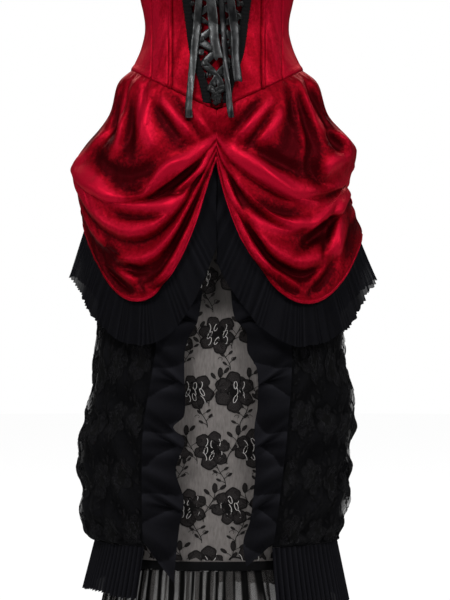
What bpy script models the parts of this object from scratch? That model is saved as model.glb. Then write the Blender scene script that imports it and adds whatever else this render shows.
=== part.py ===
"""Bustle dress of crushed velvet, floral lace and pleated mesh, hollow, as it stands when worn.

Metres, +Z up, the front faces -Y. The origin is the centre of the waist, where the wearer holds it up.
Every cloth piece is a thin closed wall. Its outer face comes from a function of the garment's sizes,
and its inner face lies one wall thickness further in.
"""

from math import asin, cos, exp, pi, radians, sin

import bpy
import numpy as np

LEFT, RIGHT = -1, 1
SIDES = {"left": LEFT, "right": RIGHT}

SEAM_GAP = 0.0004  # between two pieces that meet at a seam
CLOTH = 0.0020  # velvet with its lining
SHEER = 0.0012  # lace and mesh
RIBBON = 0.0008  # satin ribbon
RIBBON_WIDTH = 0.012

# The figure that the bodice is cut for: half widths and depths of its level sections.
FIGURE = {
    "height": (-0.150, -0.110, -0.075, -0.035, 0.000, 0.047, 0.100, 0.150, 0.200),
    "width": (0.160, 0.1535, 0.1415, 0.1240, 0.1175, 0.1255, 0.137, 0.149, 0.151),
    "front": (0.114, 0.110, 0.104, 0.094, 0.088, 0.094, 0.106, 0.116, 0.110),
    "back": (0.128, 0.120, 0.108, 0.092, 0.083, 0.085, 0.091, 0.096, 0.098),
}
BUST = {"angle": 32.0, "height": 0.135, "spread_angle": 24.0, "spread_height": 0.055, "fullness": 0.018}

BODICE_POINT = -0.150  # lowest point of the bodice, at centre front
BODICE_RISE = 0.0765  # how far its lower edge rises to the side seam
BODICE_BACK_DROP = 0.030  # and drops again to centre back
NECKLINE = {
    "centre": 0.136,
    "cup": 0.186,
    "side": 0.158,
    "back": 0.150,
    "cup_angle": 34.0,
    "cup_spread": 27.0,
}

# Seams of the bodice, in metres from the centre plane as seen from the front.
PRINCESS_SEAM = 0.072
SIDE_FRONT_SEAM = 0.106
BACK_SEAM_ANGLE = 118.0

# Half the width of the laced front opening.
OPENING = {
    "height": (-0.146, -0.105, -0.075, -0.054, 0.000, 0.047, 0.100, 0.150),
    "half_gap": (0.0070, 0.0150, 0.0240, 0.0300, 0.0370, 0.0430, 0.0470, 0.0490),
}
BODICE_ROWS = 13
PLACKET_OUT = CLOTH + 0.0013
PLACKET_WIDTH = 0.013
MODESTY_SET_BACK = 0.0016  # from the inner face of the bodice to the panel behind its opening
LACING = {
    "lowest": -0.112,
    "step": 0.040,
    "levels": 7,
    "tab": 0.009,
    "tab_height": 0.010,
    "under": 0.0036,  # how far the ribbon of the lower turn stands out from the bodice
    "over": 0.0049,  # and that of the upper one
    "bar": 0.0062,
    "narrowed": 0.7,  # width of a stretch pulled tight, as a share of the ribbon's
    "tucked": 0.006,  # how far each stretch reaches under the placket's edge
}
KNOT = {"height": 0.131, "out": 0.0115, "size": (0.021, 0.015, 0.018)}

# Routes of the four free ribbon stretches below the knot:
# metres right of centre, up, and out from the bodice.
BOW = {
    "loop_left": [
        (-0.0030, 0.121, 0.0185),
        (-0.0070, 0.085, 0.0165),
        (-0.0095, 0.047, 0.0150),
        (-0.0060, 0.005, 0.0145),
        (-0.0035, -0.030, 0.0145),
        (0.0020, -0.060, 0.0140),
    ],
    "loop_right": [
        (0.0040, 0.121, 0.0130),
        (0.0120, 0.085, 0.0130),
        (0.0185, 0.047, 0.0130),
        (0.0260, -0.015, 0.0130),
        (0.0275, -0.055, 0.0130),
        (0.0315, -0.098, 0.0140),
    ],
    "tail_left": [
        (-0.0080, 0.121, 0.0090),
        (-0.0200, 0.075, 0.0095),
        (-0.0270, 0.030, 0.0100),
        (-0.0300, -0.015, 0.0100),
        (-0.0350, -0.060, 0.0100),
        (-0.0400, -0.110, 0.0105),
        (-0.0420, -0.140, 0.0130),
        (-0.0410, -0.163, 0.0160),
    ],
    "tail_right": [
        (0.0050, 0.121, 0.0078),
        (0.0040, 0.080, 0.0078),
        (0.0070, 0.030, 0.0078),
        (0.0110, -0.020, 0.0078),
        (0.0140, -0.075, 0.0078),
        (0.0175, -0.115, 0.0090),
        (0.0190, -0.140, 0.0120),
        (0.0215, -0.163, 0.0160),
    ],
}

# Folds of the velvet overskirt, one row for each fold line from the waist seam to the hem.
# centre and side: its height at centre front (or back) and at the side seam;
# sag: how far it hangs below the straight line between them;
# width and depth: how far it stands out at the side and in the middle of the swag.
VELVET_FRONT = {
    "left": [
        ("gathers", -0.160, -0.096, 0.000, 0.165, 0.120),
        ("hip", -0.171, -0.150, 0.010, 0.180, 0.132),
        ("yoke", -0.184, -0.200, 0.032, 0.221, 0.138),
        ("first fold", -0.192, -0.2366, 0.070, 0.2434, 0.156),
        ("first trough", -0.198, -0.246, 0.081, 0.240, 0.143),
        ("second fold", -0.204, -0.261, 0.113, 0.2385, 0.165),
        ("second trough", -0.209, -0.271, 0.124, 0.2345, 0.150),
        ("third fold", -0.214, -0.290, 0.139, 0.2315, 0.168),
        ("third trough", -0.219, -0.300, 0.149, 0.2275, 0.158),
        ("hem fold", -0.224, -0.317, 0.173, 0.226, 0.171),
        ("hem", -0.227, -0.324, 0.182, 0.224, 0.168),
    ],
    "right": [
        ("gathers", -0.160, -0.096, 0.000, 0.168, 0.120),
        ("hip", -0.171, -0.150, 0.010, 0.186, 0.132),
        ("yoke", -0.184, -0.204, 0.024, 0.2315, 0.138),
        ("first fold", -0.192, -0.256, 0.048, 0.222, 0.156),
        ("first trough", -0.198, -0.265, 0.060, 0.216, 0.144),
        ("second fold", -0.204, -0.280, 0.087, 0.224, 0.163),
        ("second trough", -0.209, -0.290, 0.099, 0.222, 0.148),
        ("third fold", -0.214, -0.308, 0.130, 0.231, 0.171),
        ("third trough", -0.219, -0.322, 0.142, 0.234, 0.157),
        ("hem fold", -0.224, -0.342, 0.162, 0.242, 0.171),
        ("hem", -0.227, -0.350, 0.170, 0.243, 0.168),
    ],
}
VELVET_BACK = {
    "left": [
        ("gathers", -0.125, -0.096, 0.000, 0.165, 0.150),
        ("hip", -0.165, -0.150, 0.008, 0.180, 0.190),
        ("yoke", -0.203, -0.200, 0.022, 0.221, 0.222),
        ("first fold", -0.235, -0.2366, 0.040, 0.2434, 0.248),
        ("first trough", -0.246, -0.249, 0.050, 0.232, 0.224),
        ("second fold", -0.270, -0.274, 0.074, 0.236, 0.246),
        ("second trough", -0.281, -0.285, 0.084, 0.226, 0.222),
        ("hem fold", -0.304, -0.310, 0.108, 0.229, 0.242),
        ("hem", -0.314, -0.324, 0.120, 0.224, 0.236),
    ],
    "right": [
        ("gathers", -0.125, -0.096, 0.000, 0.168, 0.150),
        ("hip", -0.165, -0.150, 0.008, 0.186, 0.190),
        ("yoke", -0.203, -0.204, 0.022, 0.2315, 0.222),
        ("first fold", -0.235, -0.256, 0.040, 0.222, 0.248),
        ("first trough", -0.246, -0.268, 0.050, 0.216, 0.224),
        ("second fold", -0.270, -0.293, 0.074, 0.227, 0.246),
        ("second trough", -0.281, -0.306, 0.084, 0.226, 0.222),
        ("hem fold", -0.304, -0.338, 0.098, 0.242, 0.242),
        ("hem", -0.314, -0.350, 0.108, 0.243, 0.236),
    ],
}
# How full a swag is on its way to its lowest point: over 1 is hollow, under 1 is full.
SWAG_SHAPE = {"front": {"left": 1.22, "right": 0.76}, "back": {"left": 0.90, "right": 0.90}, "side": 0.85}
PINCH_DEPTH = {"front": 0.121, "back": 0.205}  # how far the gathered centre stands out
PINCH_SPREAD = radians(13)
HIP_PLEATS = {"count": 3, "first": radians(38), "last": radians(90), "depth": 0.0055}

# Pleated mesh on the velvet hem.
HEM_RUFFLE = {
    "length": 0.074,
    "tuck": 0.004,
    "flare": 0.62,
    "lift": 0.004,
    "side_flare": 0.032,
    "pleats": 13,
    "pleat_depth": 0.0095,
    "centre_clear": 0.0012,  # half the gap between the two halves at their seam
    "centre_spread": 0.0005,  # what the gap's half gains by the free edge
}

# Level sections of the sheer lace skirt, of the draped lace over it, and their hem flounces.
INNER_SKIRT = {
    "height": (-0.150, -0.300, -0.600, -0.886),
    "width": (0.150, 0.160, 0.172, 0.180),
    "front": (0.099, 0.104, 0.120, 0.130),
    "back": (0.112, 0.132, 0.154, 0.164),
}
BAND = {"top": -0.8865, "height": 0.014, "thickness": 0.0030}
INNER_FLOUNCE = {"top": -0.9012, "bottom": -1.020, "spread": 0.024, "pleats": 22, "pleat_depth": 0.0090}
OVERLAY_COLUMNS = ("fold", "height", "left", "right", "front", "back", "dip")
OVERLAY = [
    ("seam", -0.170, 0.160, 0.160, 0.113, 0.126, 0.000),
    ("hip", -0.300, 0.184, 0.184, 0.124, 0.160, 0.010),
    ("under ruffle", -0.450, 0.201, 0.206, 0.138, 0.186, 0.020),
    ("first trough", -0.530, 0.206, 0.216, 0.141, 0.190, 0.026),
    ("first puff", -0.600, 0.215, 0.230, 0.154, 0.204, 0.030),
    ("second trough", -0.645, 0.222, 0.233, 0.148, 0.196, 0.026),
    ("second puff", -0.690, 0.234, 0.224, 0.160, 0.208, 0.030),
    ("third trough", -0.745, 0.226, 0.223, 0.152, 0.198, 0.024),
    ("third puff", -0.800, 0.2315, 0.217, 0.162, 0.206, 0.020),
    ("hem trough", -0.846, 0.218, 0.207, 0.154, 0.196, 0.008),
    ("hem", -0.862, 0.206, 0.202, 0.152, 0.192, 0.000),
]
# Front edge of the draped lace, in metres from the centre plane.
OVERLAY_EDGE = {
    "height": (-0.170, -0.400, -0.535, -0.680, -0.862),
    "left": (0.080, 0.092, 0.097, 0.118, 0.118),
    "right": (0.080, 0.105, 0.120, 0.112, 0.090),
}
OUTER_FLOUNCE = {
    "top": -0.8625,
    "bottom": {"left": -0.942, "right": -0.966},
    "spread": 0.018,
    "pleats": 16,
    "pleat_depth": 0.009,
}

# Mesh ruffle that falls in cascades down each front edge of the draped lace.
CASCADE = {
    "top": -0.420,
    "bottom": -0.852,
    "drop": 0.045,
    "last": {"left": 0.018, "right": -0.010},  # what the lowest fall gains in length
    "last_from": 0.8,  # share of the way down at which the lowest fall starts
    "falls": 4.25,
    "swing": 0.011,
    "sway": 0.006,  # how far the free edge moves sideways with each fall
    "belly": 0.010,  # how far the cloth swells forward between its seam and its free edge
    "stand": 0.0045,
    "clear": 0.016,
    "clear_height": 0.030,  # height above the flounce's top where the ruffle starts to stand clear of it
    "clear_over": 0.040,
    "full_from": 0.35,  # share of the way down at which the ruffle has its full swing
}
CASCADE_EDGE = {
    "height": (-0.400, -0.480, -0.535, -0.680, -0.800, -0.900),
    "left": (0.018, 0.040, 0.054, 0.066, 0.066, 0.062),
    "right": (0.026, 0.052, 0.067, 0.064, 0.060, 0.051),
}

COLOURS = {
    "velvet_red": ((0.42, 0.010, 0.028), 0.55, 0.0),
    "satin_black": ((0.030, 0.031, 0.033), 0.30, 0.0),
    "mesh_black": ((0.012, 0.012, 0.015), 0.85, 0.0),
    "lace_black": ((0.020, 0.020, 0.022), 0.75, 0.0),
}


def clear_scene():
    for obj in list(bpy.data.objects):
        bpy.data.objects.remove(obj, do_unlink=True)


def material(name):
    found = bpy.data.materials.get(name)
    if found:
        return found
    colour, roughness, metallic = COLOURS[name]
    made = bpy.data.materials.new(name)
    made.use_nodes = True
    shader = made.node_tree.nodes["Principled BSDF"]
    shader.inputs["Base Color"].default_value = (*colour, 1)
    shader.inputs["Roughness"].default_value = roughness
    shader.inputs["Metallic"].default_value = metallic
    return made


# Curves and sections

def along(table, key, height):
    """A column of a table of level sections, read smoothly at a height."""
    heights, values = table["height"], table[key]
    order = sorted(range(len(heights)), key=lambda i: heights[i])
    h = [heights[i] for i in order]
    v = [values[i] for i in order]
    if height <= h[0]:
        return v[0]
    if height >= h[-1]:
        return v[-1]
    i = max(k for k in range(len(h) - 1) if h[k] <= height)
    slopes = []
    for k in (i, i + 1):
        low, high = max(k - 1, 0), min(k + 1, len(h) - 1)
        slopes.append((v[high] - v[low]) / (h[high] - h[low]))
    step = h[i + 1] - h[i]
    f = (height - h[i]) / step
    return (
        v[i] * (2 * f**3 - 3 * f**2 + 1)
        + slopes[0] * step * (f**3 - 2 * f**2 + f)
        + v[i + 1] * (3 * f**2 - 2 * f**3)
        + slopes[1] * step * (f**3 - f**2)
    )


def mix(a, b, f):
    return a + (b - a) * f


def ring_point(side, angle, width, front, back, height):
    """A point of a level section, its angle from centre front (0) over the side (pi/2) to centre back (pi)."""
    depth = front if cos(angle) > 0 else back
    return np.array((side * width * sin(angle), -depth * cos(angle), height))


def body_point(side, angle, height, out=0.0):
    """A point on the figure, or that far out from it."""
    bulge = BUST["fullness"] * exp(
        -(((angle - radians(BUST["angle"])) / radians(BUST["spread_angle"])) ** 2)
        - ((height - BUST["height"]) / BUST["spread_height"]) ** 2
    )
    return ring_point(
        side,
        angle,
        along(FIGURE, "width", height) + out + 0.3 * bulge,
        along(FIGURE, "front", height) + out + bulge,
        along(FIGURE, "back", height) + out,
        height,
    )


def bodice_low(angle):
    """Height of the bodice's lower edge, a V at the front and a shallow one at the back."""
    if angle <= pi / 2:
        return BODICE_POINT + BODICE_RISE * sin(angle)
    return BODICE_POINT + BODICE_RISE - BODICE_BACK_DROP * cos(angle) ** 2


def bodice_top(angle):
    """Height of the neckline: a dip at centre front, a cup on each side, lower and level round the back."""
    past = min(max(angle / (pi / 2), 0.0), 1.0)
    base = mix(NECKLINE["centre"], NECKLINE["side"], past)
    if angle > pi / 2:
        base = mix(NECKLINE["side"], NECKLINE["back"], (angle - pi / 2) / (pi / 2))
    hill = exp(-(((angle - radians(NECKLINE["cup_angle"])) / radians(NECKLINE["cup_spread"])) ** 2))
    return base + (NECKLINE["cup"] - NECKLINE["centre"]) * hill


def angle_at(distance, height, out=0.0):
    """The angle on the bodice at a distance from the centre plane."""
    return asin(min(distance / (along(FIGURE, "width", height) + out), 1.0))


def catmull(before, a, b, after, f):
    """A smooth blend from a to b that also heeds what lies before and after."""
    bend = (2 * before - 5 * a + 4 * b - after) * f**2
    twist = (3 * a - before - 3 * b + after) * f**3
    return 0.5 * (2 * a + (b - before) * f + bend + twist)


# Closed walls

def grid_normals(points, closed=False):
    """Unit normals of a grid of points, by differences along its rows and columns."""
    down = np.gradient(points, axis=0)
    if closed:
        across = (np.roll(points, -1, axis=1) - np.roll(points, 1, axis=1)) / 2
    else:
        across = np.gradient(points, axis=1)
    normals = np.cross(across, down)
    return normals / np.maximum(np.linalg.norm(normals, axis=2, keepdims=True), 1e-12)


def wall(name, slot, outer, inner, closed=False):
    """A closed body between two grids of points, open at its edges unless the grid is closed round."""
    rows, columns = outer.shape[:2]
    points = np.concatenate([outer.reshape(-1, 3), inner.reshape(-1, 3)])
    count = rows * columns
    faces = []
    last = columns if closed else columns - 1
    for r in range(rows - 1):
        for c in range(last):
            a, b = r * columns + c, r * columns + (c + 1) % columns
            e, d = a + columns, b + columns
            faces.append((a, b, d, e))
            faces.append((count + a, count + e, count + d, count + b))
    for c in range(last):
        a, b = c, (c + 1) % columns
        faces.append((a, count + a, count + b, b))
        a, b = (rows - 1) * columns + c, (rows - 1) * columns + (c + 1) % columns
        faces.append((a, b, count + b, count + a))
    if not closed:
        for r in range(rows - 1):
            a, b = r * columns, (r + 1) * columns
            faces.append((a, b, count + b, count + a))
            a, b = r * columns + columns - 1, (r + 1) * columns + columns - 1
            faces.append((a, count + a, count + b, b))
    mesh = bpy.data.meshes.new(name)
    mesh.from_pydata([tuple(p) for p in points], [], faces)
    mesh.materials.append(material(slot))
    obj = bpy.data.objects.new(name, mesh)
    bpy.context.scene.collection.objects.link(obj)
    turn_outwards(mesh)
    mesh.shade_smooth()
    mesh.set_sharp_from_angle(angle=radians(50))
    return obj


def turn_outwards(mesh):
    """Turns a closed mesh's faces round if its volume comes out negative."""
    mesh.calc_loop_triangles()
    co = np.array([v.co for v in mesh.vertices])
    tri = np.array([t.vertices for t in mesh.loop_triangles])
    volume = np.einsum("ij,ij->", co[tri[:, 0]], np.cross(co[tri[:, 1]], co[tri[:, 2]]))
    if volume < 0:
        mesh.flip_normals()


def keep_clear(points, side=None, half=None):
    """Moves points back over the centre plane or the side seam plane, half a seam gap from it."""
    gap = SEAM_GAP / 2
    if side:
        points[..., 0] = side * np.maximum(side * points[..., 0], gap)
    if half:
        points[..., 1] = half * np.maximum(half * points[..., 1], gap)
    return points


def cloth(name, slot, outer, thickness, side=None, half=None, closed=False):
    """A wall whose inner face follows the outer one. Its normals point away from the garment's axis."""
    normals = grid_normals(outer, closed)
    middle = outer.reshape(-1, 3).mean(axis=0) * (0, 0, 1) + (0, 0.02, 0)
    if np.einsum("ijk,ijk->", normals, outer - middle) < 0:
        normals = -normals
    inner = outer - normals * thickness
    return wall(name, slot, keep_clear(outer, side, half), keep_clear(inner, side, half), closed)


# Bodice

def seam_angle(seam, row_share):
    """The angle of a bodice seam at a share of the way from the lower edge to the neckline."""
    angle = 0.3
    for _ in range(12):
        height = mix(bodice_low(angle), bodice_top(angle), row_share)
        angle = seam(height)
    return angle


def panel_point(side, angle, share, out):
    """A point of a bodice panel, level with its facets: share runs from the lower edge to the neckline."""
    at = min(share, 0.9999) * (BODICE_ROWS - 1)
    row = int(at)
    heights = [mix(bodice_low(angle), bodice_top(angle), k / (BODICE_ROWS - 1)) for k in (row, row + 1)]
    low, high = (body_point(side, angle, height, out) for height in heights)
    return mix(low, high, at - row)


def placket_edge(height):
    """Angle of the placket's outer edge."""
    return angle_at(along(OPENING, "half_gap", height) + PLACKET_WIDTH, height)


def bodice_panels():
    """Four panels a side. The front one has a line of points under the placket's outer edge."""
    seams = [
        lambda z: angle_at(along(OPENING, "half_gap", z) + 0.002, z),
        lambda z: angle_at(PRINCESS_SEAM, z),
        lambda z: angle_at(SIDE_FRONT_SEAM, z),
        lambda z: radians(BACK_SEAM_ANGLE),
        lambda z: pi,
    ]
    names = ("front", "side_front", "side", "back")
    gap = SEAM_GAP / 2 / FIGURE["width"][4]
    for side_name, side in SIDES.items():
        for index, part in enumerate(names):
            columns = 3 if part == "side_front" else 4
            faces = np.zeros((2, BODICE_ROWS, columns, 3))
            for r in range(BODICE_ROWS):
                share = r / (BODICE_ROWS - 1)
                start = seam_angle(seams[index], share) + gap
                stop = seam_angle(seams[index + 1], share) - gap
                angles = [mix(start, stop, c / (columns - 1)) for c in range(columns)]
                if part == "front":
                    under_placket = seam_angle(placket_edge, share)
                    angles = [start, under_placket, (under_placket + stop) / 2, stop]
                for c, angle in enumerate(angles):
                    height = mix(bodice_low(angle), bodice_top(angle), share)
                    for layer, out in enumerate((CLOTH, 0.0)):
                        faces[layer, r, c] = body_point(side, angle, height, out)
            wall(f"bodice_{part}_{side_name}", "velvet_red", *(keep_clear(f, side) for f in faces))


def modesty_panel():
    """The velvet stomacher behind the lacing."""
    rows, columns = 13, 5
    faces = np.zeros((2, rows, columns, 3))
    for r in range(rows):
        height = mix(BODICE_POINT + 0.004, NECKLINE["centre"] - 0.004, r / (rows - 1))
        reach = angle_at(along(OPENING, "half_gap", height) + 0.010, height)
        for c in range(columns):
            angle = mix(-reach, reach, c / (columns - 1))
            for layer, out in enumerate((-MODESTY_SET_BACK, -MODESTY_SET_BACK - CLOTH)):
                faces[layer, r, c] = body_point(RIGHT, angle, height, out)
    wall("modesty_panel", "velvet_red", *faces)


def lacing_heights():
    return [LACING["lowest"] + LACING["step"] * k for k in range(LACING["levels"])]


def plackets():
    """The black strip along each side of the opening, with a ribbon tab at every lacing level."""
    levels = lacing_heights()
    heights = [BODICE_POINT + 0.012]
    for level in levels:
        tab_low, tab_high = level - LACING["tab_height"] / 2, level + LACING["tab_height"] / 2
        heights += [tab_low - 0.001, tab_low, tab_high, tab_high + 0.001]
    heights.append(NECKLINE["centre"] - 0.0005)
    for side_name, side in SIDES.items():
        faces = np.zeros((2, len(heights), 3, 3))
        for r, height in enumerate(heights):
            edge = along(OPENING, "half_gap", height)
            on_tab = min(abs(height - level) for level in levels) <= LACING["tab_height"] / 2 + 1e-6
            reach = LACING["tab"] if on_tab else 0.0
            for c, distance in enumerate((edge - reach, edge + 0.001, edge + PLACKET_WIDTH - 0.0005)):
                angle = angle_at(distance, height)
                share = (height - bodice_low(angle)) / (bodice_top(angle) - bodice_low(angle))
                for layer, out in enumerate((PLACKET_OUT + RIBBON, PLACKET_OUT)):
                    faces[layer, r, c] = panel_point(side, angle, max(share, 0.0), out)
        wall(f"placket_{side_name}", "satin_black", *faces)


def ribbon(name, route, width, samples=12, columns=3, taper=0.0):
    """A flat ribbon along a smooth route of (across, up, out) points, narrower at its start by taper."""
    points = np.array(route, float)
    padded = np.concatenate([2 * points[:1] - points[1:2], points, 2 * points[-1:] - points[-2:-1]])
    line = []
    for k in range(samples + 1):
        at = k / samples * (len(points) - 1)
        i = min(int(at), len(points) - 2)
        line.append(catmull(*padded[i : i + 4], at - i))
    line = np.array(line)
    tangent = np.gradient(line, axis=0)
    flat = np.stack([tangent[:, 1], -tangent[:, 0]], axis=1)
    folded = np.linalg.norm(flat, axis=1) < 1e-9
    flat[folded] = (1, 0)
    flat /= np.linalg.norm(flat, axis=1, keepdims=True)
    flat *= np.where(flat[:, :1] < 0, -1, 1)
    through = np.cross(tangent, np.concatenate([flat, np.zeros((len(flat), 1))], axis=1))
    through /= np.linalg.norm(through, axis=1, keepdims=True)
    faces = np.zeros((2, len(line), columns, 3))
    for r, (across, up, out) in enumerate(line):
        half = width / 2 * (1 - taper * exp(-((r / samples / 0.12) ** 2)))
        for c in range(columns):
            offset = half * (2 * c / (columns - 1) - 1)
            for layer, extra in enumerate((RIBBON / 2, -RIBBON / 2)):
                x = across + flat[r, 0] * offset + through[r, 0] * extra
                z = up + flat[r, 1] * offset + through[r, 1] * extra
                side = 1 if x >= 0 else -1
                stand = CLOTH + out + through[r, 2] * extra
                faces[layer, r, c] = body_point(side, angle_at(abs(x), z), z, stand)
    wall(name, "satin_black", *faces)


def lacing():
    """Ribbon stretches that cross between the tabs, one node each, and the bar across the lowest pair."""
    levels = lacing_heights()
    width = RIBBON_WIDTH * LACING["narrowed"]
    for k, height in enumerate(levels[:-1]):
        for side_name, side in SIDES.items():
            start = along(OPENING, "half_gap", height) - LACING["tucked"]
            stop = along(OPENING, "half_gap", levels[k + 1]) - LACING["tucked"]
            out = LACING["under"] if side == LEFT else LACING["over"]
            route = [
                (side * start, height + 0.002, out),
                (0, height + LACING["step"] / 2, out),
                (-side * stop, levels[k + 1] - 0.002, out),
            ]
            ribbon(f"lacing_{k + 1}_{side_name}", route, width, samples=4, columns=2)
    start = along(OPENING, "half_gap", levels[0]) - 0.001
    low = levels[0] - 0.003
    out = LACING["bar"]
    route = [(-start, low, out), (0, low - 0.001, out), (start, low, out)]
    ribbon("lacing_bar", route, width, samples=4, columns=2)


def bow():
    """The knot at the top of the lacing, its two hanging loops and its two tails."""
    height = KNOT["height"]
    centre = body_point(RIGHT, 0.0, height, CLOTH + KNOT["out"])
    half = np.array(KNOT["size"]) / 2
    rows, columns = 5, 10
    outer = np.zeros((rows, columns, 3))
    for r in range(rows):
        up = -cos(pi * r / (rows - 1))
        swell = 0.55 + 0.45 * sin(pi * r / (rows - 1))
        for c in range(columns):
            turn = 2 * pi * c / columns
            outer[r, c] = centre + half * (swell * cos(turn), swell * sin(turn), up)
    points = [tuple(p) for p in outer.reshape(-1, 3)]
    faces = [
        tuple((r + up) * columns + (c + over) % columns for up, over in ((0, 0), (0, 1), (1, 1), (1, 0)))
        for r in range(rows - 1)
        for c in range(columns)
    ]
    faces.append(tuple(reversed(range(columns))))
    faces.append(tuple((rows - 1) * columns + c for c in range(columns)))
    mesh = bpy.data.meshes.new("bow_knot")
    mesh.from_pydata(points, [], faces)
    mesh.materials.append(material("satin_black"))
    obj = bpy.data.objects.new("bow_knot", mesh)
    bpy.context.scene.collection.objects.link(obj)
    turn_outwards(mesh)
    mesh.shade_smooth()
    for name in ("loop_left", "loop_right"):
        front = BOW[name]
        turn = [(front[-1][0], front[-1][1] - 0.0022, front[-1][2] - 0.0012)]
        back = [(x, z, out - 0.0030) for x, z, out in reversed(front)]
        ribbon(f"bow_{name}", front + turn + back, RIBBON_WIDTH, samples=20, columns=2)
    for name in ("tail_left", "tail_right"):
        ribbon(f"bow_{name}", BOW[name], RIBBON_WIDTH, samples=14, columns=2, taper=0.4)


# Velvet overskirt

def waist_row(side, angle):
    return body_point(side, angle, bodice_low(angle) - SEAM_GAP, CLOTH)


def fold_row(side_name, half, fold, angle):
    """A point of a fold line at an angle from centre front (or from centre back)."""
    _, centre, side_height, sag, width, depth = fold
    share = sin(angle)
    gathered = exp(-((angle / PINCH_SPREAD) ** 2))
    pinch = PINCH_DEPTH["front" if half == "front" else "back"]
    depth = mix(depth, min(pinch, depth), gathered)
    shape = SWAG_SHAPE[half][side_name] if share < 0.5 else SWAG_SHAPE["side"]
    height = mix(centre, side_height, share) - sag * max(4 * share * (1 - share), 0) ** shape
    y = -depth * cos(angle)
    return np.array((SIDES[side_name] * width * share, y if half == "front" else -y, height))


def velvet_point(side_name, half, share, fold_share):
    """A point of the overskirt: share runs from the centre to the side seam, fold_share from waist to hem."""
    side = SIDES[side_name]
    table = (VELVET_FRONT if half == "front" else VELVET_BACK)[side_name]
    angle = share * pi / 2
    body_angle = angle if half == "front" else pi - angle
    rows = [waist_row(side, body_angle)] + [fold_row(side_name, half, fold, angle) for fold in table]
    at = fold_share * (len(rows) - 1)
    i = min(int(at), len(rows) - 2)
    before = rows[i - 1] if i else 2 * rows[0] - rows[1]
    after = rows[i + 2] if i + 2 < len(rows) else 2 * rows[-1] - rows[-2]
    point = catmull(before, rows[i], rows[i + 1], after, at - i)
    return point + hip_pleats(side, half, angle, at)


def hip_pleats(side, half, angle, at):
    """Gathers under the waist seam, deepest at the hip, gone at the first fold."""
    span = (angle - HIP_PLEATS["first"]) / (HIP_PLEATS["last"] - HIP_PLEATS["first"])
    if not 0 < span < 1 or not 0 < at < 3.5:
        return np.zeros(3)
    strength = HIP_PLEATS["depth"] * sin(pi * span) ** 0.5 * sin(pi * at / 3.5)
    wave = cos(2 * pi * HIP_PLEATS["count"] * span)
    return strength * wave * np.array((side * sin(angle), -cos(angle) if half == "front" else cos(angle), 0))


def velvet_overskirt():
    columns = 13
    for half, rows in (("front", 15), ("back", 11)):
        for side_name, side in SIDES.items():
            outer = np.array(
                [
                    [velvet_point(side_name, half, c / (columns - 1), r / (rows - 1)) for c in range(columns)]
                    for r in range(rows)
                ]
            )
            half_sign = -1 if half == "front" else 1
            cloth(f"velvet_{half}_{side_name}", "velvet_red", outer, CLOTH, side, half_sign)


def hem_ruffle_point(side_name, half, share, reach, wave):
    """A point of the pleated mesh under the velvet hem; reach runs from its seam (0) to its free edge (1)."""
    side = SIDES[side_name]
    step = 1e-3
    at = min(max(share, 0.0), 1.0)
    here = velvet_point(side_name, half, at, 1.0)
    along_hem = velvet_point(side_name, half, min(at + step, 1), 1.0)
    along_hem -= velvet_point(side_name, half, max(at - step, 0), 1.0)
    along_hem /= np.linalg.norm(along_hem)
    angle = at * pi / 2
    out = np.array((side * sin(angle), -cos(angle) if half == "front" else cos(angle), 0.0))
    away = np.cross(along_hem, out)
    away *= -1 if away[2] > 0 else 1
    fall = np.array((0, 0, -1.0)) + HEM_RUFFLE["flare"] * away
    fall /= np.linalg.norm(fall)
    start = here - out * (CLOTH + HEM_RUFFLE["tuck"]) - fall * HEM_RUFFLE["lift"]
    point = start + fall * reach * HEM_RUFFLE["length"]
    pleat = HEM_RUFFLE["pleat_depth"] * wave * (0.15 + 0.85 * reach) * 0.5
    point += out * (pleat + HEM_RUFFLE["side_flare"] * reach * share**2)
    clear = HEM_RUFFLE["centre_clear"] + HEM_RUFFLE["centre_spread"] * reach
    point[0] = side * max(side * point[0], clear)
    return point


def hem_ruffles():
    rows = 2
    columns = 2 * HEM_RUFFLE["pleats"] + 1
    for half in ("front", "back"):
        for side_name, side in SIDES.items():
            outer = np.array(
                [
                    [
                        hem_ruffle_point(side_name, half, c / (columns - 1), r / (rows - 1), 1 - 2 * (c % 2))
                        for c in range(columns)
                    ]
                    for r in range(rows)
                ]
            )
            half_sign = -1 if half == "front" else 1
            cloth(f"hem_ruffle_{half}_{side_name}", "mesh_black", outer, SHEER, side, half_sign)


# Lace skirts

def section(table, angle, side, height, out=0.0):
    return ring_point(
        side,
        angle,
        along(table, "width", height) + out,
        along(table, "front", height) + out,
        along(table, "back", height) + out,
        height,
    )


def inner_skirt():
    """The straight sheer lace skirt, in a front and a back."""
    rows, columns = 4, 15
    top, bottom = INNER_SKIRT["height"][0], INNER_SKIRT["height"][-1]
    for half, first, last in (("front", -pi / 2, pi / 2), ("back", pi / 2, 3 * pi / 2)):
        angles = [mix(first, last, c / (columns - 1)) for c in range(columns)]
        heights = [mix(top, bottom, r / (rows - 1)) for r in range(rows)]
        outer = np.array(
            [[section(INNER_SKIRT, angle, RIGHT, height) for angle in angles] for height in heights]
        )
        cloth(f"inner_skirt_{half}", "lace_black", outer, SHEER, half=-1 if half == "front" else 1)


def turned(count):
    return [2 * pi * c / count for c in range(count)]


def hem_band():
    columns = 36
    outer = np.zeros((2, columns, 3))
    for r in range(2):
        height = BAND["top"] - BAND["height"] * r
        for c, angle in enumerate(turned(columns)):
            outer[r, c] = section(INNER_SKIRT, angle, RIGHT, bottom_of(INNER_SKIRT), 0.0006)
            outer[r, c, 2] = height
    cloth("hem_band", "satin_black", outer, BAND["thickness"] * 0.6, closed=True)


def bottom_of(table):
    return min(table["height"])


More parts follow.
